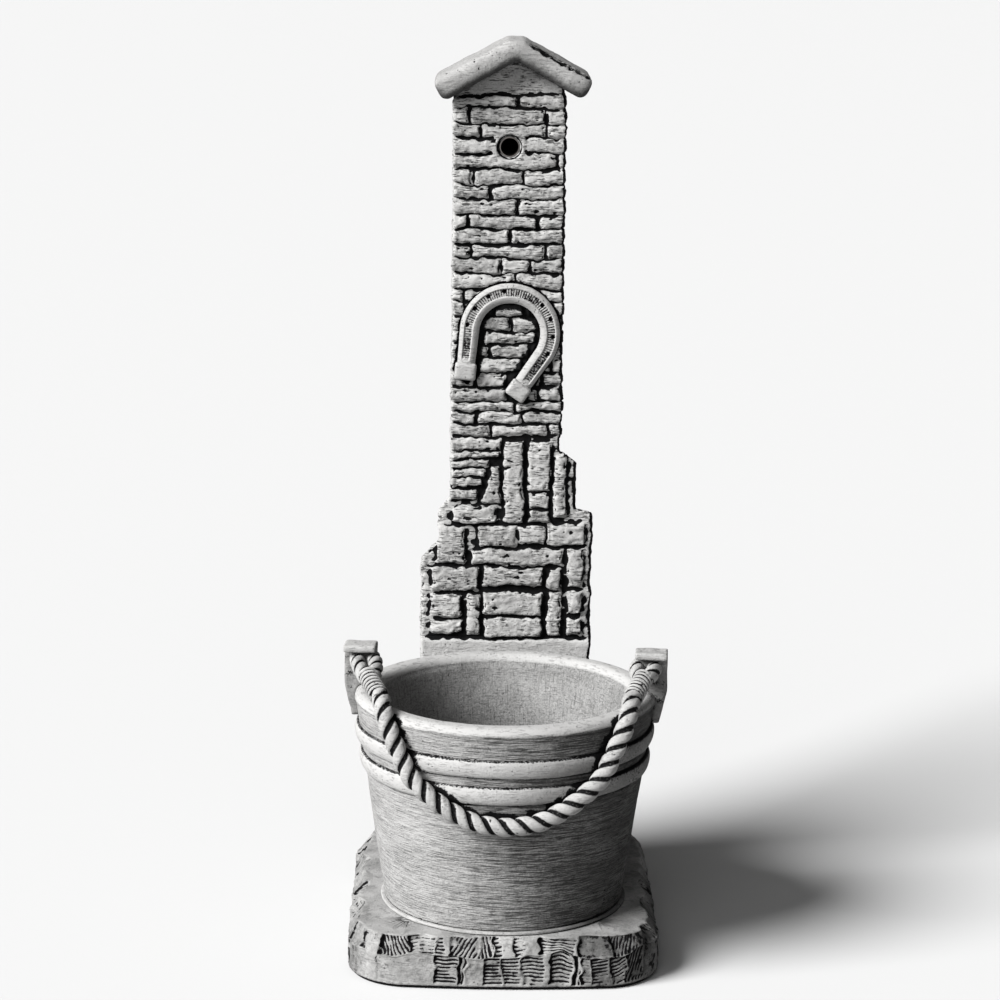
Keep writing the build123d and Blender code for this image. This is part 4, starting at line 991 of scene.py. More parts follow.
@dataclass(frozen=True)
class RopeSizes:
    """Route and lay of the rope, measured round the bucket."""

    radius: float = 10.0
    clearance: float = 1.2
    swag: float = 107.0
    ear_turn: float = 4.0
    starts: int = 2
    pitch: float = 38.0
    groove: float = 0.31
    step: float = 1.0
    dark: float = 0.80
    bright: float = 0.93
    bend: float = 0.45
    lead: float = 10.0
    whipping_start: Triple = (17.5, -2.0, 0.235)
    whipping_end: Triple = (32.0, -1.6, 0.13)
    route: tuple[Triple, ...] = (
        (36.0, -1.15, 0.1), (40.0, -0.58, 0.054), (43.7, 0.02, -0.05), (46.9, 0.19, -0.202),
        (53.8, 0.62, -0.522), (58.5, 0.58, -0.641), (64.0, 0.46, -0.757), (69.7, 0.2, -0.858),
        (78.0, 0.02, -0.962),
    )
    coil_turns: float = 7.0
    coil_wire: float = 2.4
    coil_radius: float = 8.5
    coil_dark: float = 1.1
    coil_bright: float = 1.9
    eye_radius: float = 8.5
    eye_pitch: float = 1.2
    eye_spread: float = 9.5
    eye_height: float = 28.0
    ear_middle: float = 152.5
    ear_face: float = 2.0


@dataclass
class Rope:
    """Rope swag with a whipping and an eye at each ear."""

    sizes: RopeSizes
    bucket: BucketSizes
    finish: Paint

    def __post_init__(self) -> None:
        low, high = node_box("bucket")
        self.axis_y = (low[1] + high[1]) / 2

    def around(self, side: int, angle: float, radius: float, rise: float) -> Array:
        """Point round the bucket; the angle runs from its side to the front."""
        turn = math.radians(angle)
        return np.array([side * radius * math.cos(turn), self.axis_y - radius * math.sin(turn),
                         self.bucket.rim + rise])

    def place(self, side: int, angle: float, standoff: float, climb: float) -> Array:
        """Point on the rope's middle line from its stand-off and its climb."""
        sizes = self.sizes
        rise = climb * sizes.swag
        wall = self.bucket.radius(self.bucket.rim + min(rise, 0.0))
        return self.around(side, angle, wall + sizes.clearance + (1 + standoff) * sizes.radius, rise)

    def whipping(self, side: int) -> tuple[Array, Array, Array]:
        """Start, end and direction of one whipping."""
        start, end = (self.place(side, *at) for at in (self.sizes.whipping_start, self.sizes.whipping_end))
        return start, end, unit(end - start)

    def route(self) -> Array:
        """Middle line of the swag from the left whipping to the right one."""
        sides = []
        for side in (-1, 1):
            _, end, ahead = self.whipping(side)
            knots = [end, end + ahead * self.sizes.lead]
            sides.append(knots + [self.place(side, *at) for at in self.sizes.route])
        knots = np.array(sides[0] + [self.place(1, 90.0, 0.0, -1.0)] + sides[1][::-1])
        return rounded(knots, self.sizes.bend)

    def legs(self) -> list[Array]:
        """Middle lines of the two legs of each eye, from the ear to the whipping."""
        sizes = self.sizes
        turn = math.radians(sizes.ear_turn)
        forward = np.array([-math.sin(turn), -math.cos(turn), 0.0])
        lines = []
        for side in (-1, 1):
            start, _, ahead = self.whipping(side)
            outward = side * np.array([math.cos(turn), -math.sin(turn), 0.0])
            seat = self.around(side, side * sizes.ear_turn, sizes.ear_middle, sizes.eye_height)
            across = np.cross((0, 0, 1), ahead) * side
            for leg in (-1, 1):
                first = seat + forward * (sizes.ear_face - 5) + outward * leg * sizes.eye_spread
                last = start + ahead * 5 + across * leg * sizes.eye_spread * 0.42
                middle = (first + last) / 2 + outward * leg * 2.5 + np.array([0, 0, 1.0])
                lines.append(rounded(np.array([first, middle, last]), sizes.bend))
        return lines

    def lay(self) -> Tree:
        """Geometry tree that sweeps a grooved round along a curve and twists it as rope strands lie."""
        tree, given = new_group("rope_lay", Radius="Float", Groove="Float", Pitch="Float", Starts="Int",
                                Step="Float")
        curve = Wire.add(tree, "GeometryNodeResampleCurve",
                         {"Curve": given["Geometry"], "Length": given["Step"]}, mode="LENGTH")
        run = curve.node("GeometryNodeSplineParameter", output="Length")
        turn = run / given["Pitch"] * (2 * math.pi)
        tilted = curve.node("GeometryNodeSetCurveTilt", {"Curve": curve, "Tilt": turn})
        spot = curve.node("GeometryNodeInputPosition")
        parts = [curve.node("ShaderNodeSeparateXYZ", {"Vector": spot}, axis) for axis in "XY"]
        angle = curve.math("ARCTAN2", parts[1], parts[0]) * given["Starts"]
        dip = curve.math("POWER", curve.math("COSINE", angle) * 0.5 + 0.5, 2.6)
        share = 1.0 - dip * given["Groove"]
        inward = curve.node("ShaderNodeVectorMath", {0: spot, "Scale": share}, operation="SCALE")
        grooved = {"Geometry": ring(curve, 64, given["Radius"]), "Position": inward}
        tube = sweep(tilted, curve.node("GeometryNodeSetPosition", grooved))
        return end_group(tree, tube, given["Material"])

    def coil(self) -> Tree:
        """Geometry tree that winds a thread round a straight curve."""
        tree, given = new_group("rope_coil", Wire="Float", Radius="Float", Turns="Float")
        curve = Wire.add(tree, "GeometryNodeResampleCurve", {"Curve": given["Geometry"], "Count": 480},
                         mode="COUNT")
        turn = curve.node("GeometryNodeSplineParameter", output="Factor") * given["Turns"] * (2 * math.pi)
        normal = curve.node("GeometryNodeInputNormal")
        ways = {0: normal, 1: curve.node("GeometryNodeInputTangent")}
        side = curve.node("ShaderNodeVectorMath", ways, operation="CROSS_PRODUCT")
        parts = []
        for way, wave in ((normal, "COSINE"), (side, "SINE")):
            scaled = {0: way, "Scale": curve.math(wave, turn) * given["Radius"]}
            parts.append(curve.node("ShaderNodeVectorMath", scaled, operation="SCALE"))
        away = curve.node("ShaderNodeVectorMath", {0: parts[0], 1: parts[1]}, operation="ADD")
        helix = curve.node("GeometryNodeSetPosition", {"Geometry": curve, "Offset": away})
        winding = sweep(helix, ring(curve, 12, given["Wire"]))
        core = sweep(curve, ring(curve, 32, given["Radius"]))
        both = curve.node("GeometryNodeJoinGeometry", {"Geometry": winding})
        Wire.plug(both.socket.node.inputs[0], core)
        return end_group(tree, both, given["Material"])

    def dress(self, name: str, lines: Sequence[Array], tree: Tree, given: dict, node: str,
              dark: float, bright: float) -> Piece:
        """Run a geometry tree on some lines and show what it makes.

        Args:
            name: name of the piece.
            lines: middle lines, each n by 3 in millimetres.
            tree: geometry tree for the modifier.
            given: the tree's inputs by name.
            node: CAD node that the piece stands for.
            dark: distance from the line where the wash is full.
            bright: distance from the line where it ends.

        Returns:
            The shown piece.
        """
        data = bpy.data.curves.new(name, "CURVE")
        data.dimensions = "3D"
        data.twist_mode = "MINIMUM"
        for line in lines:
            spline = data.splines.new("POLY")
            spline.points.add(len(line) - 1)
            spline.points.foreach_set("co", np.column_stack([line * MM, np.ones(len(line))]).ravel())
        work = bpy.data.objects.new(name + "_line", data)
        bpy.context.scene.collection.objects.link(work)
        modifier = work.modifiers.new("lay", "NODES")
        modifier.node_group = tree
        for item in tree.interface.items_tree:
            if item.item_type == "SOCKET" and item.in_out == "INPUT" and item.name in given:
                modifier[item.identifier] = given[item.name]
        mesh = bake(work)
        points = mesh_points(mesh)
        noise = Noise(51)
        depth = soft_step(nearest(points, np.concatenate(lines)[::2])[0], bright, dark)
        wash = np.clip(0.62 * depth + 0.5 * soft_step(noise(points, 4.0), 0.6, 0.85), 0, 1)
        tone = 0.78 + 0.14 * noise(points, 14) - 0.5 * depth
        mesh.polygons.foreach_set("use_smooth", np.ones(len(mesh.polygons), bool))
        return show_mesh(mesh, name, self.finish, [node], wash=wash, tone=tone)

    def build(self) -> list[Piece]:
        """Lay the swag, the eyes and the whippings."""
        sizes = self.sizes
        lay, coil = self.lay(), self.coil()
        strands = {"Radius": sizes.radius * MM, "Groove": sizes.groove, "Pitch": sizes.pitch * MM,
                   "Starts": sizes.starts, "Step": sizes.step * MM, "Material": self.finish}
        small = dict(strands, Radius=sizes.eye_radius * MM, Pitch=sizes.pitch * sizes.eye_pitch * MM)
        thread = {"Wire": sizes.coil_wire * MM, "Radius": sizes.coil_radius * MM, "Turns": sizes.coil_turns,
                  "Material": self.finish}
        bars = []
        for side in (-1, 1):
            start, end, ahead = self.whipping(side)
            bars.append(np.linspace(start - ahead, end + ahead, 30))
        return [
            self.dress("rope_strands", [self.route()], lay, strands, "rope_swag",
                       sizes.radius * sizes.dark, sizes.radius * sizes.bright),
            self.dress("rope_legs", self.legs(), lay, small, "rope_eyes",
                       sizes.eye_radius * sizes.dark, sizes.eye_radius * sizes.bright),
            self.dress("rope_coils", bars, coil, thread, "rope_whippings",
                       sizes.coil_radius + sizes.coil_dark, sizes.coil_radius + sizes.coil_bright),
        ]


# Horseshoe

def rounded_box(half_x: float, half_y: float, radius: float) -> Array:
    """Loop of points round a rectangle with rounded corners, anticlockwise."""
    loop = []
    for number, (side_x, side_y) in enumerate(((1, 1), (-1, 1), (-1, -1), (1, -1))):
        corner = ((half_x - radius) * side_x, (half_y - radius) * side_y)
        for turn in np.radians(np.linspace(90 * number, 90 * number + 90, 7)):
            loop.append((corner[0] + radius * math.cos(turn), corner[1] + radius * math.sin(turn)))
    return np.array(loop)


@dataclass(frozen=True)
class ShoeSizes:
    """Horseshoe in its own plane, toe up."""

    middle: tuple[float, float] = (2.5, 651.5)
    turn: float = -20.0
    radius: float = 45.0
    toe: float = 22.0
    heel: float = 19.5
    heel_x: float = 31.5
    heel_drop: float = 57.0
    arc_end: float = -18.0
    thick: float = 10.5
    seat: float = 0.1
    groove: tuple[float, float] = (-0.28, 0.52)
    groove_depth: float = 2.6
    rib_pitch: float = 2.7
    rib: float = 0.9
    nails: tuple[float, ...] = (-8.0, 16.0, 40.0, 62.0)
    nail_line: float = 1.07
    nail_radius: float = 2.2
    nail_depth: float = 3.0
    block: Triple = (24.0, 19.0, 14.0)
    block_corner: float = 3.0
    steps: int = 420
    tone: float = 0.25


@dataclass
class Horseshoe:
    """Horseshoe with a ribbed groove, nail holes and heel blocks."""

    sizes: ShoeSizes
    finish: Paint

    def __post_init__(self) -> None:
        self.back = node_box("horseshoe")[1][1]

    def world(self, flat: Array, height: Array | float = 0.0) -> Array:
        """Points in the row frame from places in the shoe's plane and heights above it."""
        turn = math.radians(self.sizes.turn)
        across = flat[..., 0] * math.cos(turn) - flat[..., 1] * math.sin(turn) + self.sizes.middle[0]
        up = flat[..., 0] * math.sin(turn) + flat[..., 1] * math.cos(turn) + self.sizes.middle[1]
        return np.stack([across, np.broadcast_to(self.back - height, across.shape), up], axis=-1)

    def middle_line(self) -> Array:
        """Middle line of the shoe from the right heel to the left one, evenly spaced."""
        sizes = self.sizes
        turn = np.radians(np.linspace(sizes.arc_end, 180 - sizes.arc_end, 240))
        bow = np.column_stack([np.cos(turn), np.sin(turn)]) * sizes.radius
        right, left = [sizes.heel_x, -sizes.heel_drop], [-sizes.heel_x, -sizes.heel_drop]
        return evenly(np.concatenate([[right], bow, [left]]), sizes.steps)

    def nail_holes(self, flat: Array) -> Array:
        """Share of a nail hole at each place in the shoe's plane."""
        sizes = self.sizes
        holes = np.zeros(flat.shape[:2])
        for angle in sizes.nails:
            for turn in (math.radians(angle), math.radians(180 - angle)):
                spot = sizes.nail_line * sizes.radius * np.array([math.cos(turn), math.sin(turn)])
                gap = np.linalg.norm(flat - spot, axis=-1)
                hole = soft_step(gap, sizes.nail_radius + 0.5, sizes.nail_radius - 0.6)
                holes = np.maximum(holes, hole)
        return holes

    def bar(self, line: Array, along: Array) -> Casting:
        """Bent bar of the shoe, with its ribbed groove and nail holes.

        Args:
            line: middle line in the shoe's plane.
            along: direction of the line at each of its points.

        Returns:
            The casting of the bar alone.
        """
        sizes = self.sizes
        out = np.column_stack([along[:, 1], -along[:, 0]])
        run = run_along(line)
        end_share = np.abs(run / run[-1] * 2 - 1)
        half = np.interp(end_share, [0, 0.55, 1], [sizes.toe, sizes.toe, sizes.heel]) / 2
        share = np.linspace(-1, 1, 45)
        spread = np.sign(share) * np.abs(share) ** 0.9
        height = sizes.thick * (1 - 0.42 * np.abs(spread) ** 3.0)
        groove = soft_step(spread, sizes.groove[0] - 0.08, sizes.groove[0] + 0.08)
        groove *= soft_step(spread, sizes.groove[1] + 0.08, sizes.groove[1] - 0.08)
        ends = soft_step(end_share, 0.92, 0.86)[:, None] * groove[None, :]
        ribs = 0.5 - 0.5 * np.sin(2 * math.pi * run / sizes.rib_pitch)[:, None]
        flat = line[:, None, :] + out[:, None, :] * (half[:, None] * spread[None, :])[..., None]
        holes = self.nail_holes(flat)
        level = height[None, :] - ends * (sizes.groove_depth - sizes.rib * ribs) - sizes.nail_depth * holes
        upper = self.world(flat, level)
        lower = self.world(flat[:, [-1, 0]], sizes.seat)
        cast = Casting.loft(np.concatenate([upper, lower], axis=1))
        swell = Noise(61)
        patch = soft_step(swell(upper.reshape(-1, 3), 22), -0.5, 0.4).reshape(level.shape)
        wash = np.clip(ends * (0.56 - 0.45 * ribs * patch) + holes, 0, 1)
        cast.wash = np.concatenate([wash, np.ones(lower.shape[:2])], axis=1).reshape(-1)
        cast.tone += sizes.tone
        cast.push(0.25 * swell(cast.points, 9))
        return cast

    def block(self, place: Array, inward: Array) -> Casting:
        """Heel block at the end of one branch; inward points up the branch."""
        width, length, thick = self.sizes.block
        side = np.array([inward[1], -inward[0]])
        levels = ((self.sizes.seat, 0.0), (thick - 4.0, 0.0), (thick - 2.0, 0.5), (thick - 0.6, 1.6),
                  (thick, 3.4), (thick, 6.0))
        rings = []
        for height, inset in levels:
            loop = rounded_box(width / 2 - inset, length / 2 - inset, self.sizes.block_corner)
            rings.append(self.world(place + loop[:, :1] * side + loop[:, 1:] * inward, height))
        cast = Casting.loft(np.array(rings))
        cast.tone += self.sizes.tone
        cast.wash[: len(rings[0])] = 1.0
        return cast

    def build(self) -> Piece:
        """Sweep the shoe, add its blocks and show it."""
        line = self.middle_line()
        along = unit(np.gradient(line, axis=0))
        parts = [self.bar(line, along), self.block(line[-1], -along[-1]), self.block(line[0], along[0])]
        return Casting.merged(parts).show("horseshoe_relief", self.finish, "horseshoe")


# Plinth

class Zone(IntEnum):
    """Zones of the plinth's section, from the foot up."""

    FOOT = 0
    BAND = 1
    SLOPE = 2
    TOP = 3


@dataclass(frozen=True)
class Facet:
    """One hewn facet: its stretch along the edge, its strokes and how far it is cut back."""

    zone: Zone
    left: float
    right: float
    angle: float
    stroke: float
    depth: float


@dataclass(frozen=True)
class PlinthSizes:
    """Hewn plinth; the front's facets are left, right, angle, stroke and depth from its middle."""

    height: float = 55.0
    slope_run: float = 13.0
    slope_drop: float = 17.0
    slope_length: float = 21.0
    undercut: float = 5.0
    foot_inset: float = 30.0
    top_insets: tuple[float, ...] = (2, 5, 10, 18, 30, 42)
    steps: int = 1380
    band_rows: int = 36
    slope_rows: int = 25
    outline_level: float = 25.0
    stroke_pitch: float = 4.0
    stroke_depth: float = 1.7
    sway: float = 5.0
    front_band: tuple[tuple[float, ...], ...] = (
        (-136, -72, 0, 0.0, 1.2), (-72, -49, 0, 1.0, 2.6), (-48, -40, 84, 1.0, 3.6), (-39, -21, 0, 0.0, 1.0),
        (-20, -3, 3, 1.0, 2.4), (-2, 19, 0, 0.9, 1.6), (20, 44, -4, 0.9, 2.0), (50, 72, 0, 0.8, 3.4),
        (74, 82, 88, 1.0, 3.6), (83, 92, 0, 0.4, 3.0), (93, 112, 9, 0.9, 1.8), (114, 131, 24, 0.9, 2.6),
        (132, 156, 66, 1.0, 3.2),
    )
    front_slope: tuple[tuple[float, ...], ...] = (
        (-134, -98, 118, 1.0, 4.4), (-101, -71, 4, 0.5, 4.2), (-71, -64, 0, 1.0, 1.6),
        (-57, -27, 58, 1.0, 2.2), (-26, -11, 105, 1.0, 1.4), (-10, -3, 5, 1.0, 2.8), (11, 23, 0, 1.0, 2.2),
        (39, 77, -8, 0.7, 4.4), (80, 113, 0, 0.3, 4.0), (115, 150, 62, 1.0, 3.6),
    )
    front_reach: tuple[float, float] = (-140.0, 158.0)
    facet: tuple[float, float] = (12.0, 34.0)
    cut: tuple[float, float] = (0.6, 2.6)

    @property
    def shoulder(self) -> float:
        """Height where the upright band ends and the slope starts."""
        return self.height - self.slope_drop

    def run(self, zone: Zone) -> float:
        """Length of a hewn zone from bottom to top."""
        return self.slope_length if zone is Zone.SLOPE else self.shoulder - self.undercut


@dataclass
class Plinth:
    """Slab with hewn edges: two rows of chiselled facets."""

    sizes: PlinthSizes
    finish: Paint

    def outline(self) -> Array:
        """Even points round the CAD slab, anticlockwise from above."""
        mesh = frame["nodes"]["plinth"].data
        tree = BVHTree.FromPolygons([v.co for v in mesh.vertices], [p.vertices for p in mesh.polygons])
        low, high = node_box("plinth")
        middle = Vector(((low[0] + high[0]) / 2 * MM, (low[1] + high[1]) / 2 * MM,
                         self.sizes.outline_level * MM))
        found = []
        for turn in np.linspace(0, 2 * math.pi, 720, endpoint=False) + QUARTER:
            ray = Vector((math.cos(turn), math.sin(turn), 0))
            found.append(np.array(tree.ray_cast(middle + ray * 0.5, -ray)[0])[:2] / MM)
        return evenly(np.array(found + found[:1]), self.sizes.steps, closed=True)

    def section(self) -> Array:
        """Rows of height, inset, zone and share of the zone, from the bottom to the top."""
        sizes = self.sizes
        rows = [(0.0, sizes.undercut + sizes.foot_inset, Zone.FOOT, 0.0)]
        rows += [(sizes.undercut * share, sizes.undercut * (1 - share), Zone.FOOT, 0.0)
                 for share in (0.0, 0.35, 0.7)]
        shares = np.linspace(0, 1, sizes.band_rows)
        heights = np.linspace(sizes.undercut, sizes.shoulder, sizes.band_rows)
        rows += [(height, 0.0, Zone.BAND, share) for share, height in zip(shares, heights)]
        rows += [(sizes.shoulder + sizes.slope_drop * share, sizes.slope_run * share, Zone.SLOPE, share)
                 for share in np.linspace(0, 1, sizes.slope_rows)]
        rows += [(sizes.height, sizes.slope_run + inset, Zone.TOP, 0.0) for inset in sizes.top_insets]
        return np.array(rows)

    def facets(self, reach: tuple[float, float]) -> Iterator[Facet]:
        """Facets of the front, then others by chance on the rest of the edge.

        Args:
            reach: least and greatest distance along the edge from the middle of the front.

        Returns:
            The facets of both rows.
        """
        sizes = self.sizes
        yield from (Facet(Zone.BAND, *values) for values in sizes.front_band)
        yield from (Facet(Zone.SLOPE, *values) for values in sizes.front_slope)
        chance = np.random.default_rng(74)
        for zone in (Zone.BAND, Zone.SLOPE):
            for place, stop in ((reach[0], sizes.front_reach[0]), (sizes.front_reach[1], reach[1])):
                while place < stop - sizes.facet[0]:
                    right = min(place + chance.uniform(*sizes.facet), stop)
                    angle = chance.choice([0, 0, 60, 90, 115]) + chance.uniform(-8, 8)
                    stroke, depth = chance.choice([0.0, 0.25, 0.45]), chance.uniform(*sizes.cut)
                    yield Facet(zone, place, right - 1, angle, stroke, depth)
                    place = right + chance.uniform(0, 7)

    def hew(self, along: Array, up: Array, zone: Zone, facets: Sequence[Facet]) -> tuple[Array, Array]:
        """Cut, dark wash and painted shade of one row of facets.

        Args:
            along: distance of each point along the edge from the middle of the front.
            up: height of each point within the row, from 0 to 1.
            zone: the row of facets that is cut.
            facets: facets of both rows.

        Returns:
            Depth of the cut, and share of the dark wash and of the painted shade along each facet's left
            wall.
        """
        sizes, tall = self.sizes, self.sizes.run(zone)
        places = np.stack([along, up * tall, np.zeros_like(along)], axis=-1).reshape(-1, 3)
        wobble, fade = Noise(75), Noise(76)
        across = along + (3.0 * wobble(places, 9) + 1.2 * wobble(places, 4)).reshape(along.shape)
        rise = up * tall + (1.6 * wobble(places + 40, 9)).reshape(along.shape)
        patchy = soft_step(fade(places, (9, 7, 9)), -0.95, -0.15).reshape(along.shape)
        run, level = 0.6 * along + 0.4 * across, 0.5 * up * tall + 0.5 * rise
        ends = soft_step(rise, 0.5, 2.5) * soft_step(rise, tall + 2, tall - 1)
        cut, wash = np.zeros_like(along), np.zeros_like(along)
        for facet in facets:
            if facet.zone is not zone:
                continue
            width = facet.right - facet.left
            share = (across - facet.left) / width
            inside = soft_step(share * width, 0.0, 1.6) * soft_step((1 - share) * width, 0.0, 1.6) * ends
            turn = math.radians(facet.angle)
            lines = level * math.cos(turn) - run * math.sin(turn)
            wave = (0.5 + 0.5 * np.cos(2 * math.pi * lines / sizes.stroke_pitch)) ** 1.8
            stroke = facet.stroke * wave * patchy * inside
            slope = np.clip(1.0 - 0.75 * share, 0.25, 1.0)
            cut = np.maximum(cut, inside * facet.depth * slope) + sizes.stroke_depth * stroke
            # Painted shade: a dark band along the deep left wall of each facet.
            edge = soft_step(share * width, -1.2, 0.4) * soft_step(share * width, 3.0, 1.0) * ends
            edge = edge * patchy * min(facet.depth / 3.4, 1.0)
            wash = np.maximum(wash, np.maximum(0.95 * stroke, edge))
        return cut, wash

    def build(self) -> Piece:
        """Hew, wash and show the plinth."""
        sizes, chips = self.sizes, Noise(71)
        loop, table = self.outline(), self.section()
        ahead = np.roll(loop, -1, axis=0) - np.roll(loop, 1, axis=0)
        out = unit(np.column_stack([ahead[:, 1], -ahead[:, 0]]))
        front = np.argmin(np.abs(loop[:, 0]) + np.where(loop[:, 1] > 0, 1e6, 0))
        step = np.linalg.norm(loop[1] - loop[0])
        shape = (len(table), len(loop))
        along = np.broadcast_to((np.arange(len(loop)) - front) * step, shape)
        height, base, _, _ = table.T[..., None]
        zone, up = (np.broadcast_to(column[:, None], shape) for column in table.T[2:])
        facets = list(self.facets((along[0, 0], along[0, -1])))
        cut, wash = np.zeros(shape), np.where(zone == Zone.FOOT, 0.9, 0.0)
        for hewn in (Zone.BAND, Zone.SLOPE):
            row_cut, row_wash = self.hew(along, up, hewn, facets)
            cut = np.where(zone == hewn, row_cut, cut)
            wash = np.where(zone == hewn, row_wash, wash)
        band, slope, top = zone == Zone.BAND, zone == Zone.SLOPE, zone == Zone.TOP

        # The shoulder and the top edge run unevenly, as hewn edges do.
        line = np.stack([along[0], np.zeros(len(loop)), np.zeros(len(loop))], axis=-1)
        fade = 1 - (base - sizes.slope_run) / sizes.top_insets[-1]
        drift = sizes.sway * chips(line + 90, 18) * np.where(slope, up, np.where(top, fade, 0.0))
        inset = base + cut * np.where(slope, 0.8, 1.0) + drift
        sway = sizes.sway * (chips(line, 30) + 0.6 * chips(line + 50, 11))
        sway = sway * np.where(band, up, np.where(slope, 1 - up, 0.0))
        rings = np.empty((*shape, 3))
        rings[..., :2] = loop[None] - out[None] * inset[..., None]
        rings[..., 2] = np.clip(height + sway - cut * np.where(slope, 0.55, 0.0), 0, sizes.height)
        cast = Casting.loft(rings)

        # The hewn faces are softened and pitted, and take the dark wash in their hollows; their right-hand
        # end gets painted shade.
        lively = (band | slope).reshape(-1)
        cast.points[lively] = cast.smoothed(2, 0.5)[lively]
        pits = 0.5 * chips(cast.points, 7) + 0.3 * chips(cast.points + 40, 3.5)
        cast.push(np.where(lively, pits - 0.9 * np.abs(chips(cast.points, 19)), 0.0))
        cast.points[:, 2] = np.clip(cast.points[:, 2], 0, sizes.height)
        ragged = soft_step(chips.layers(cast.points + 80, 7.0, 3), 0.0, 1.0)
        # Painted shade: more dark wash and a lower tone towards the right-hand end.
        right = soft_step(cast.points[:, 0] - 0.35 * cast.points[:, 1], 132.0, 178.0)
        cast.wash = 0.8 * soft_step(cast.hollow(16), 0.25, 1.4) + wash.reshape(-1)
        cast.wash += lively * (0.3 * ragged + right * (0.1 + 0.22 * ragged))
        cast.wash = np.clip(cast.wash, 0, 1)
        cast.tone += 0.22 * chips(cast.points, 25) - lively * (0.10 + 0.2 * ragged + 0.3 * right)
        return cast.show("plinth_slab", self.finish, "plinth")


# Pipes and pump

class Waterworks:
    """Pipes, pump and fixings, which keep their CAD form and get a finish."""

    FINISHES = {
        Material.MORTAR: PlainFinish("mortar", (0.30, 0.30, 0.29), roughness=0.9),
        Material.COPPER: PlainFinish("copper", (0.27, 0.25, 0.235), metallic=1.0, roughness=0.32),
        Material.STEEL: PlainFinish("steel", (0.55, 0.55, 0.56), metallic=1.0, roughness=0.38),
        Material.PUMP: PlainFinish("pump_plastic", (0.025, 0.025, 0.028), roughness=0.5),
        Material.DIAL: PlainFinish("dial_plastic", (0.32, 0.33, 0.35), roughness=0.45),
        Material.RUBBER: PlainFinish("rubber", (0.03, 0.03, 0.03), roughness=0.75),
        Material.CERAMIC: PlainFinish("ceramic", (0.80, 0.79, 0.75), roughness=0.2, cloud=0.05),
    }

    def dress(self) -> None:
        """Give every CAD node that still shows the finish of its slot."""
        made = {slot: finish.build() for slot, finish in self.FINISHES.items()}
        for entry in frame["record"]["subparts"]:
            node = frame["nodes"][entry["node"]]
            if not node.hide_render:
                node.data.materials.clear()
                node.data.materials.append(made[Material(entry["material_slot"])])


# Studio

@dataclass(frozen=True)
class Lamp:
    """Wide distant light; its turn runs from the front to the left."""

    name: str
    turn: float
    rise: float
    spread: float
    power: float


@dataclass(frozen=True)
class StudioSizes:
    """Camera as the photograph has it, and soft lights round it."""

    target: Triple = (-0.0083, -0.0703, 0.5036)
    distance: float = 3.2
    elevation: float = 12.2
    azimuth: float = -0.6
    roll: float = 0.66
    lens: float = 108.6
    sensor: float = 36.0
    clip_end: float = 50.0
    floor_reach: float = 60.0
    floor_colour: Triple = (0.36, 0.36, 0.36)
    floor_roughness: float = 0.95
    world: float = 0.12
    lamps: tuple[Lamp, ...] = (Lamp("key", 58.0, 36.0, 30.0, 12.0), Lamp("front", 12.0, 34.0, 40.0, 0.8))


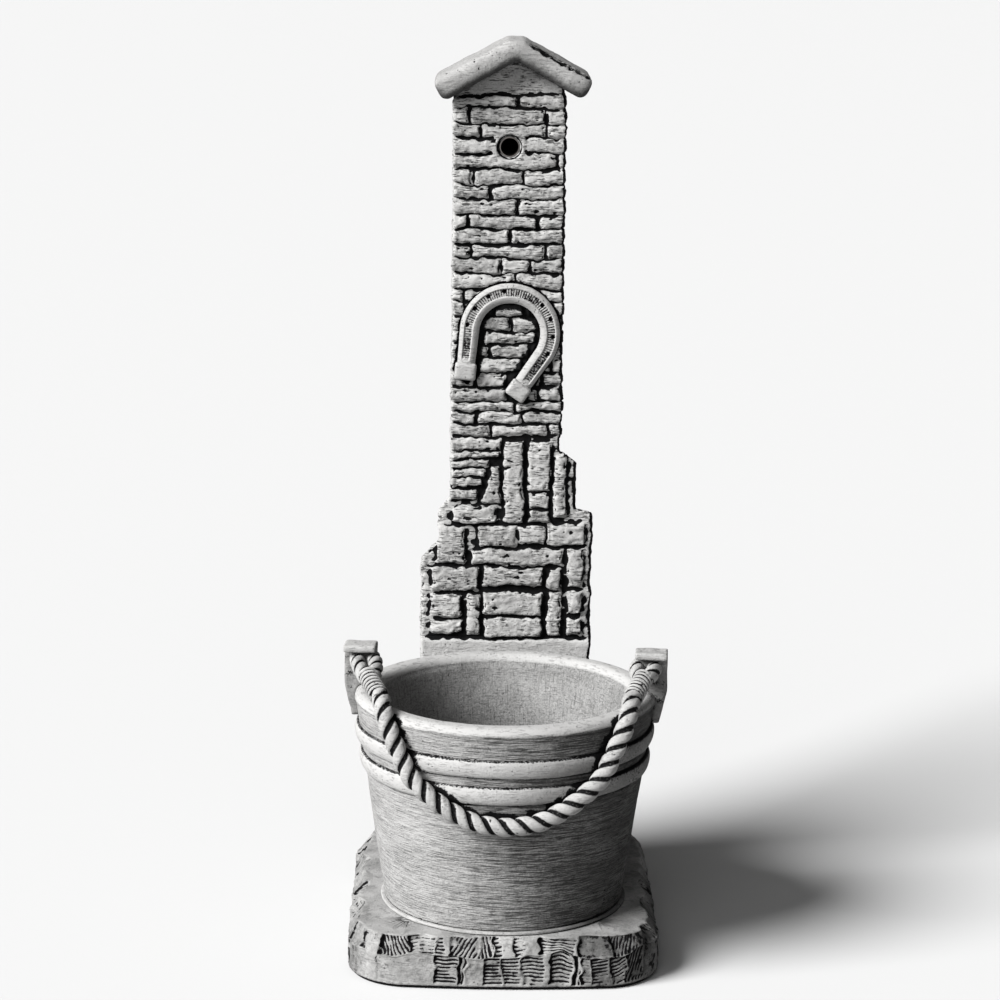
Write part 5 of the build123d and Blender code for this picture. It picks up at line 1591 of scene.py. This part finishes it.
@dataclass
class Studio:
    """Pale floor, lights and camera."""

    sizes: StudioSizes

    @staticmethod
    def toward(turn: float, rise: float) -> Vector:
        """Direction from the middle at a turn to the right of the front and a rise, in degrees."""
        around, up = math.radians(turn), math.radians(rise)
        return Vector((math.sin(around) * math.cos(up), -math.cos(around) * math.cos(up), math.sin(up)))

    def floor(self) -> None:
        """Flat pale floor that reaches past the picture on every side."""
        reach = self.sizes.floor_reach
        corners = [(-reach, -reach, 0), (reach, -reach, 0), (reach, reach, 0), (-reach, reach, 0)]
        mesh = bpy.data.meshes.new("floor")
        mesh.from_pydata(corners, [], [(0, 1, 2, 3)])
        material, shader = new_material("floor")
        Wire.plug(shader["Base Color"], (*self.sizes.floor_colour, 1.0))
        Wire.plug(shader["Roughness"], self.sizes.floor_roughness)
        mesh.materials.append(material)
        floor = bpy.data.objects.new("floor", mesh)
        bpy.context.scene.collection.objects.link(floor)

    def light(self, lamp: Lamp) -> None:
        """Hang one distant light."""
        data = bpy.data.lights.new(lamp.name, "SUN")
        data.angle = math.radians(lamp.spread)
        data.energy = lamp.power
        made = bpy.data.objects.new(lamp.name, data)
        place = self.toward(-lamp.turn, lamp.rise)
        made.location = place * self.sizes.distance
        made.rotation_euler = (-place).to_track_quat("-Z", "Y").to_euler()
        bpy.context.scene.collection.objects.link(made)

    def camera(self) -> Piece:
        """Camera at the photograph's angle."""
        sizes = self.sizes
        data = bpy.data.cameras.new("camera")
        data.lens = sizes.lens
        data.sensor_width = sizes.sensor
        data.clip_end = sizes.clip_end
        camera = bpy.data.objects.new("camera", data)
        back = self.toward(sizes.azimuth, sizes.elevation)
        camera.location = Vector(sizes.target) + back * sizes.distance
        upright = (-back).to_track_quat("-Z", "Y")
        camera.rotation_euler = (upright @ Quaternion((0, 0, 1), math.radians(sizes.roll))).to_euler()
        bpy.context.scene.collection.objects.link(camera)
        return camera

    def build(self) -> None:
        """Set up the floor, the lights, the world and the camera."""
        scene = bpy.context.scene
        self.floor()
        for lamp in self.sizes.lamps:
            self.light(lamp)
        world = bpy.data.worlds.new("studio")
        world.use_nodes = True
        background = world.node_tree.nodes["Background"].inputs
        Wire.plug(background["Color"], (1.0, 1.0, 1.0, 1.0))
        Wire.plug(background["Strength"], self.sizes.world)
        scene.world = world
        scene.camera = self.camera()
        scene.view_settings.view_transform = "Standard"
        scene.view_settings.exposure = 0.0


def main() -> None:
    """Build every sub-assembly round the frame; each shown piece logs its count of faces."""
    logging.basicConfig(level=logging.INFO, format="%(name)s %(message)s")
    bucket_sizes = BucketSizes()
    low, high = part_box("bucket")
    stone = StoneFinish("stone").build()
    smooth = StoneFinish("smooth_stone", speckle=0.5, grain=0.5, fleck=0.3).build()
    brushed = StoneFinish("brushed_stone", speckle=0.3, fleck=0.3, cloud=0.4, brushed=0.55,
                          axis_y=(low.y + high.y) / 2).build()
    rope = Rope(RopeSizes(), bucket_sizes, smooth)
    shoe = Horseshoe(ShoeSizes(), smooth)
    Plinth(PlinthSizes(), smooth).build()
    Bucket(bucket_sizes, brushed, smooth, rope.route()).build()
    Ears(EarSizes(), smooth).build()
    rope.build()
    Column(ColumnSizes(), stone, smooth, shoe.world(shoe.middle_line())).build()
    shoe.build()
    Roof(RoofSizes(), smooth).build()
    Waterworks().dress()
    Studio(StudioSizes()).build()


if __name__ == "__main__":
    main()
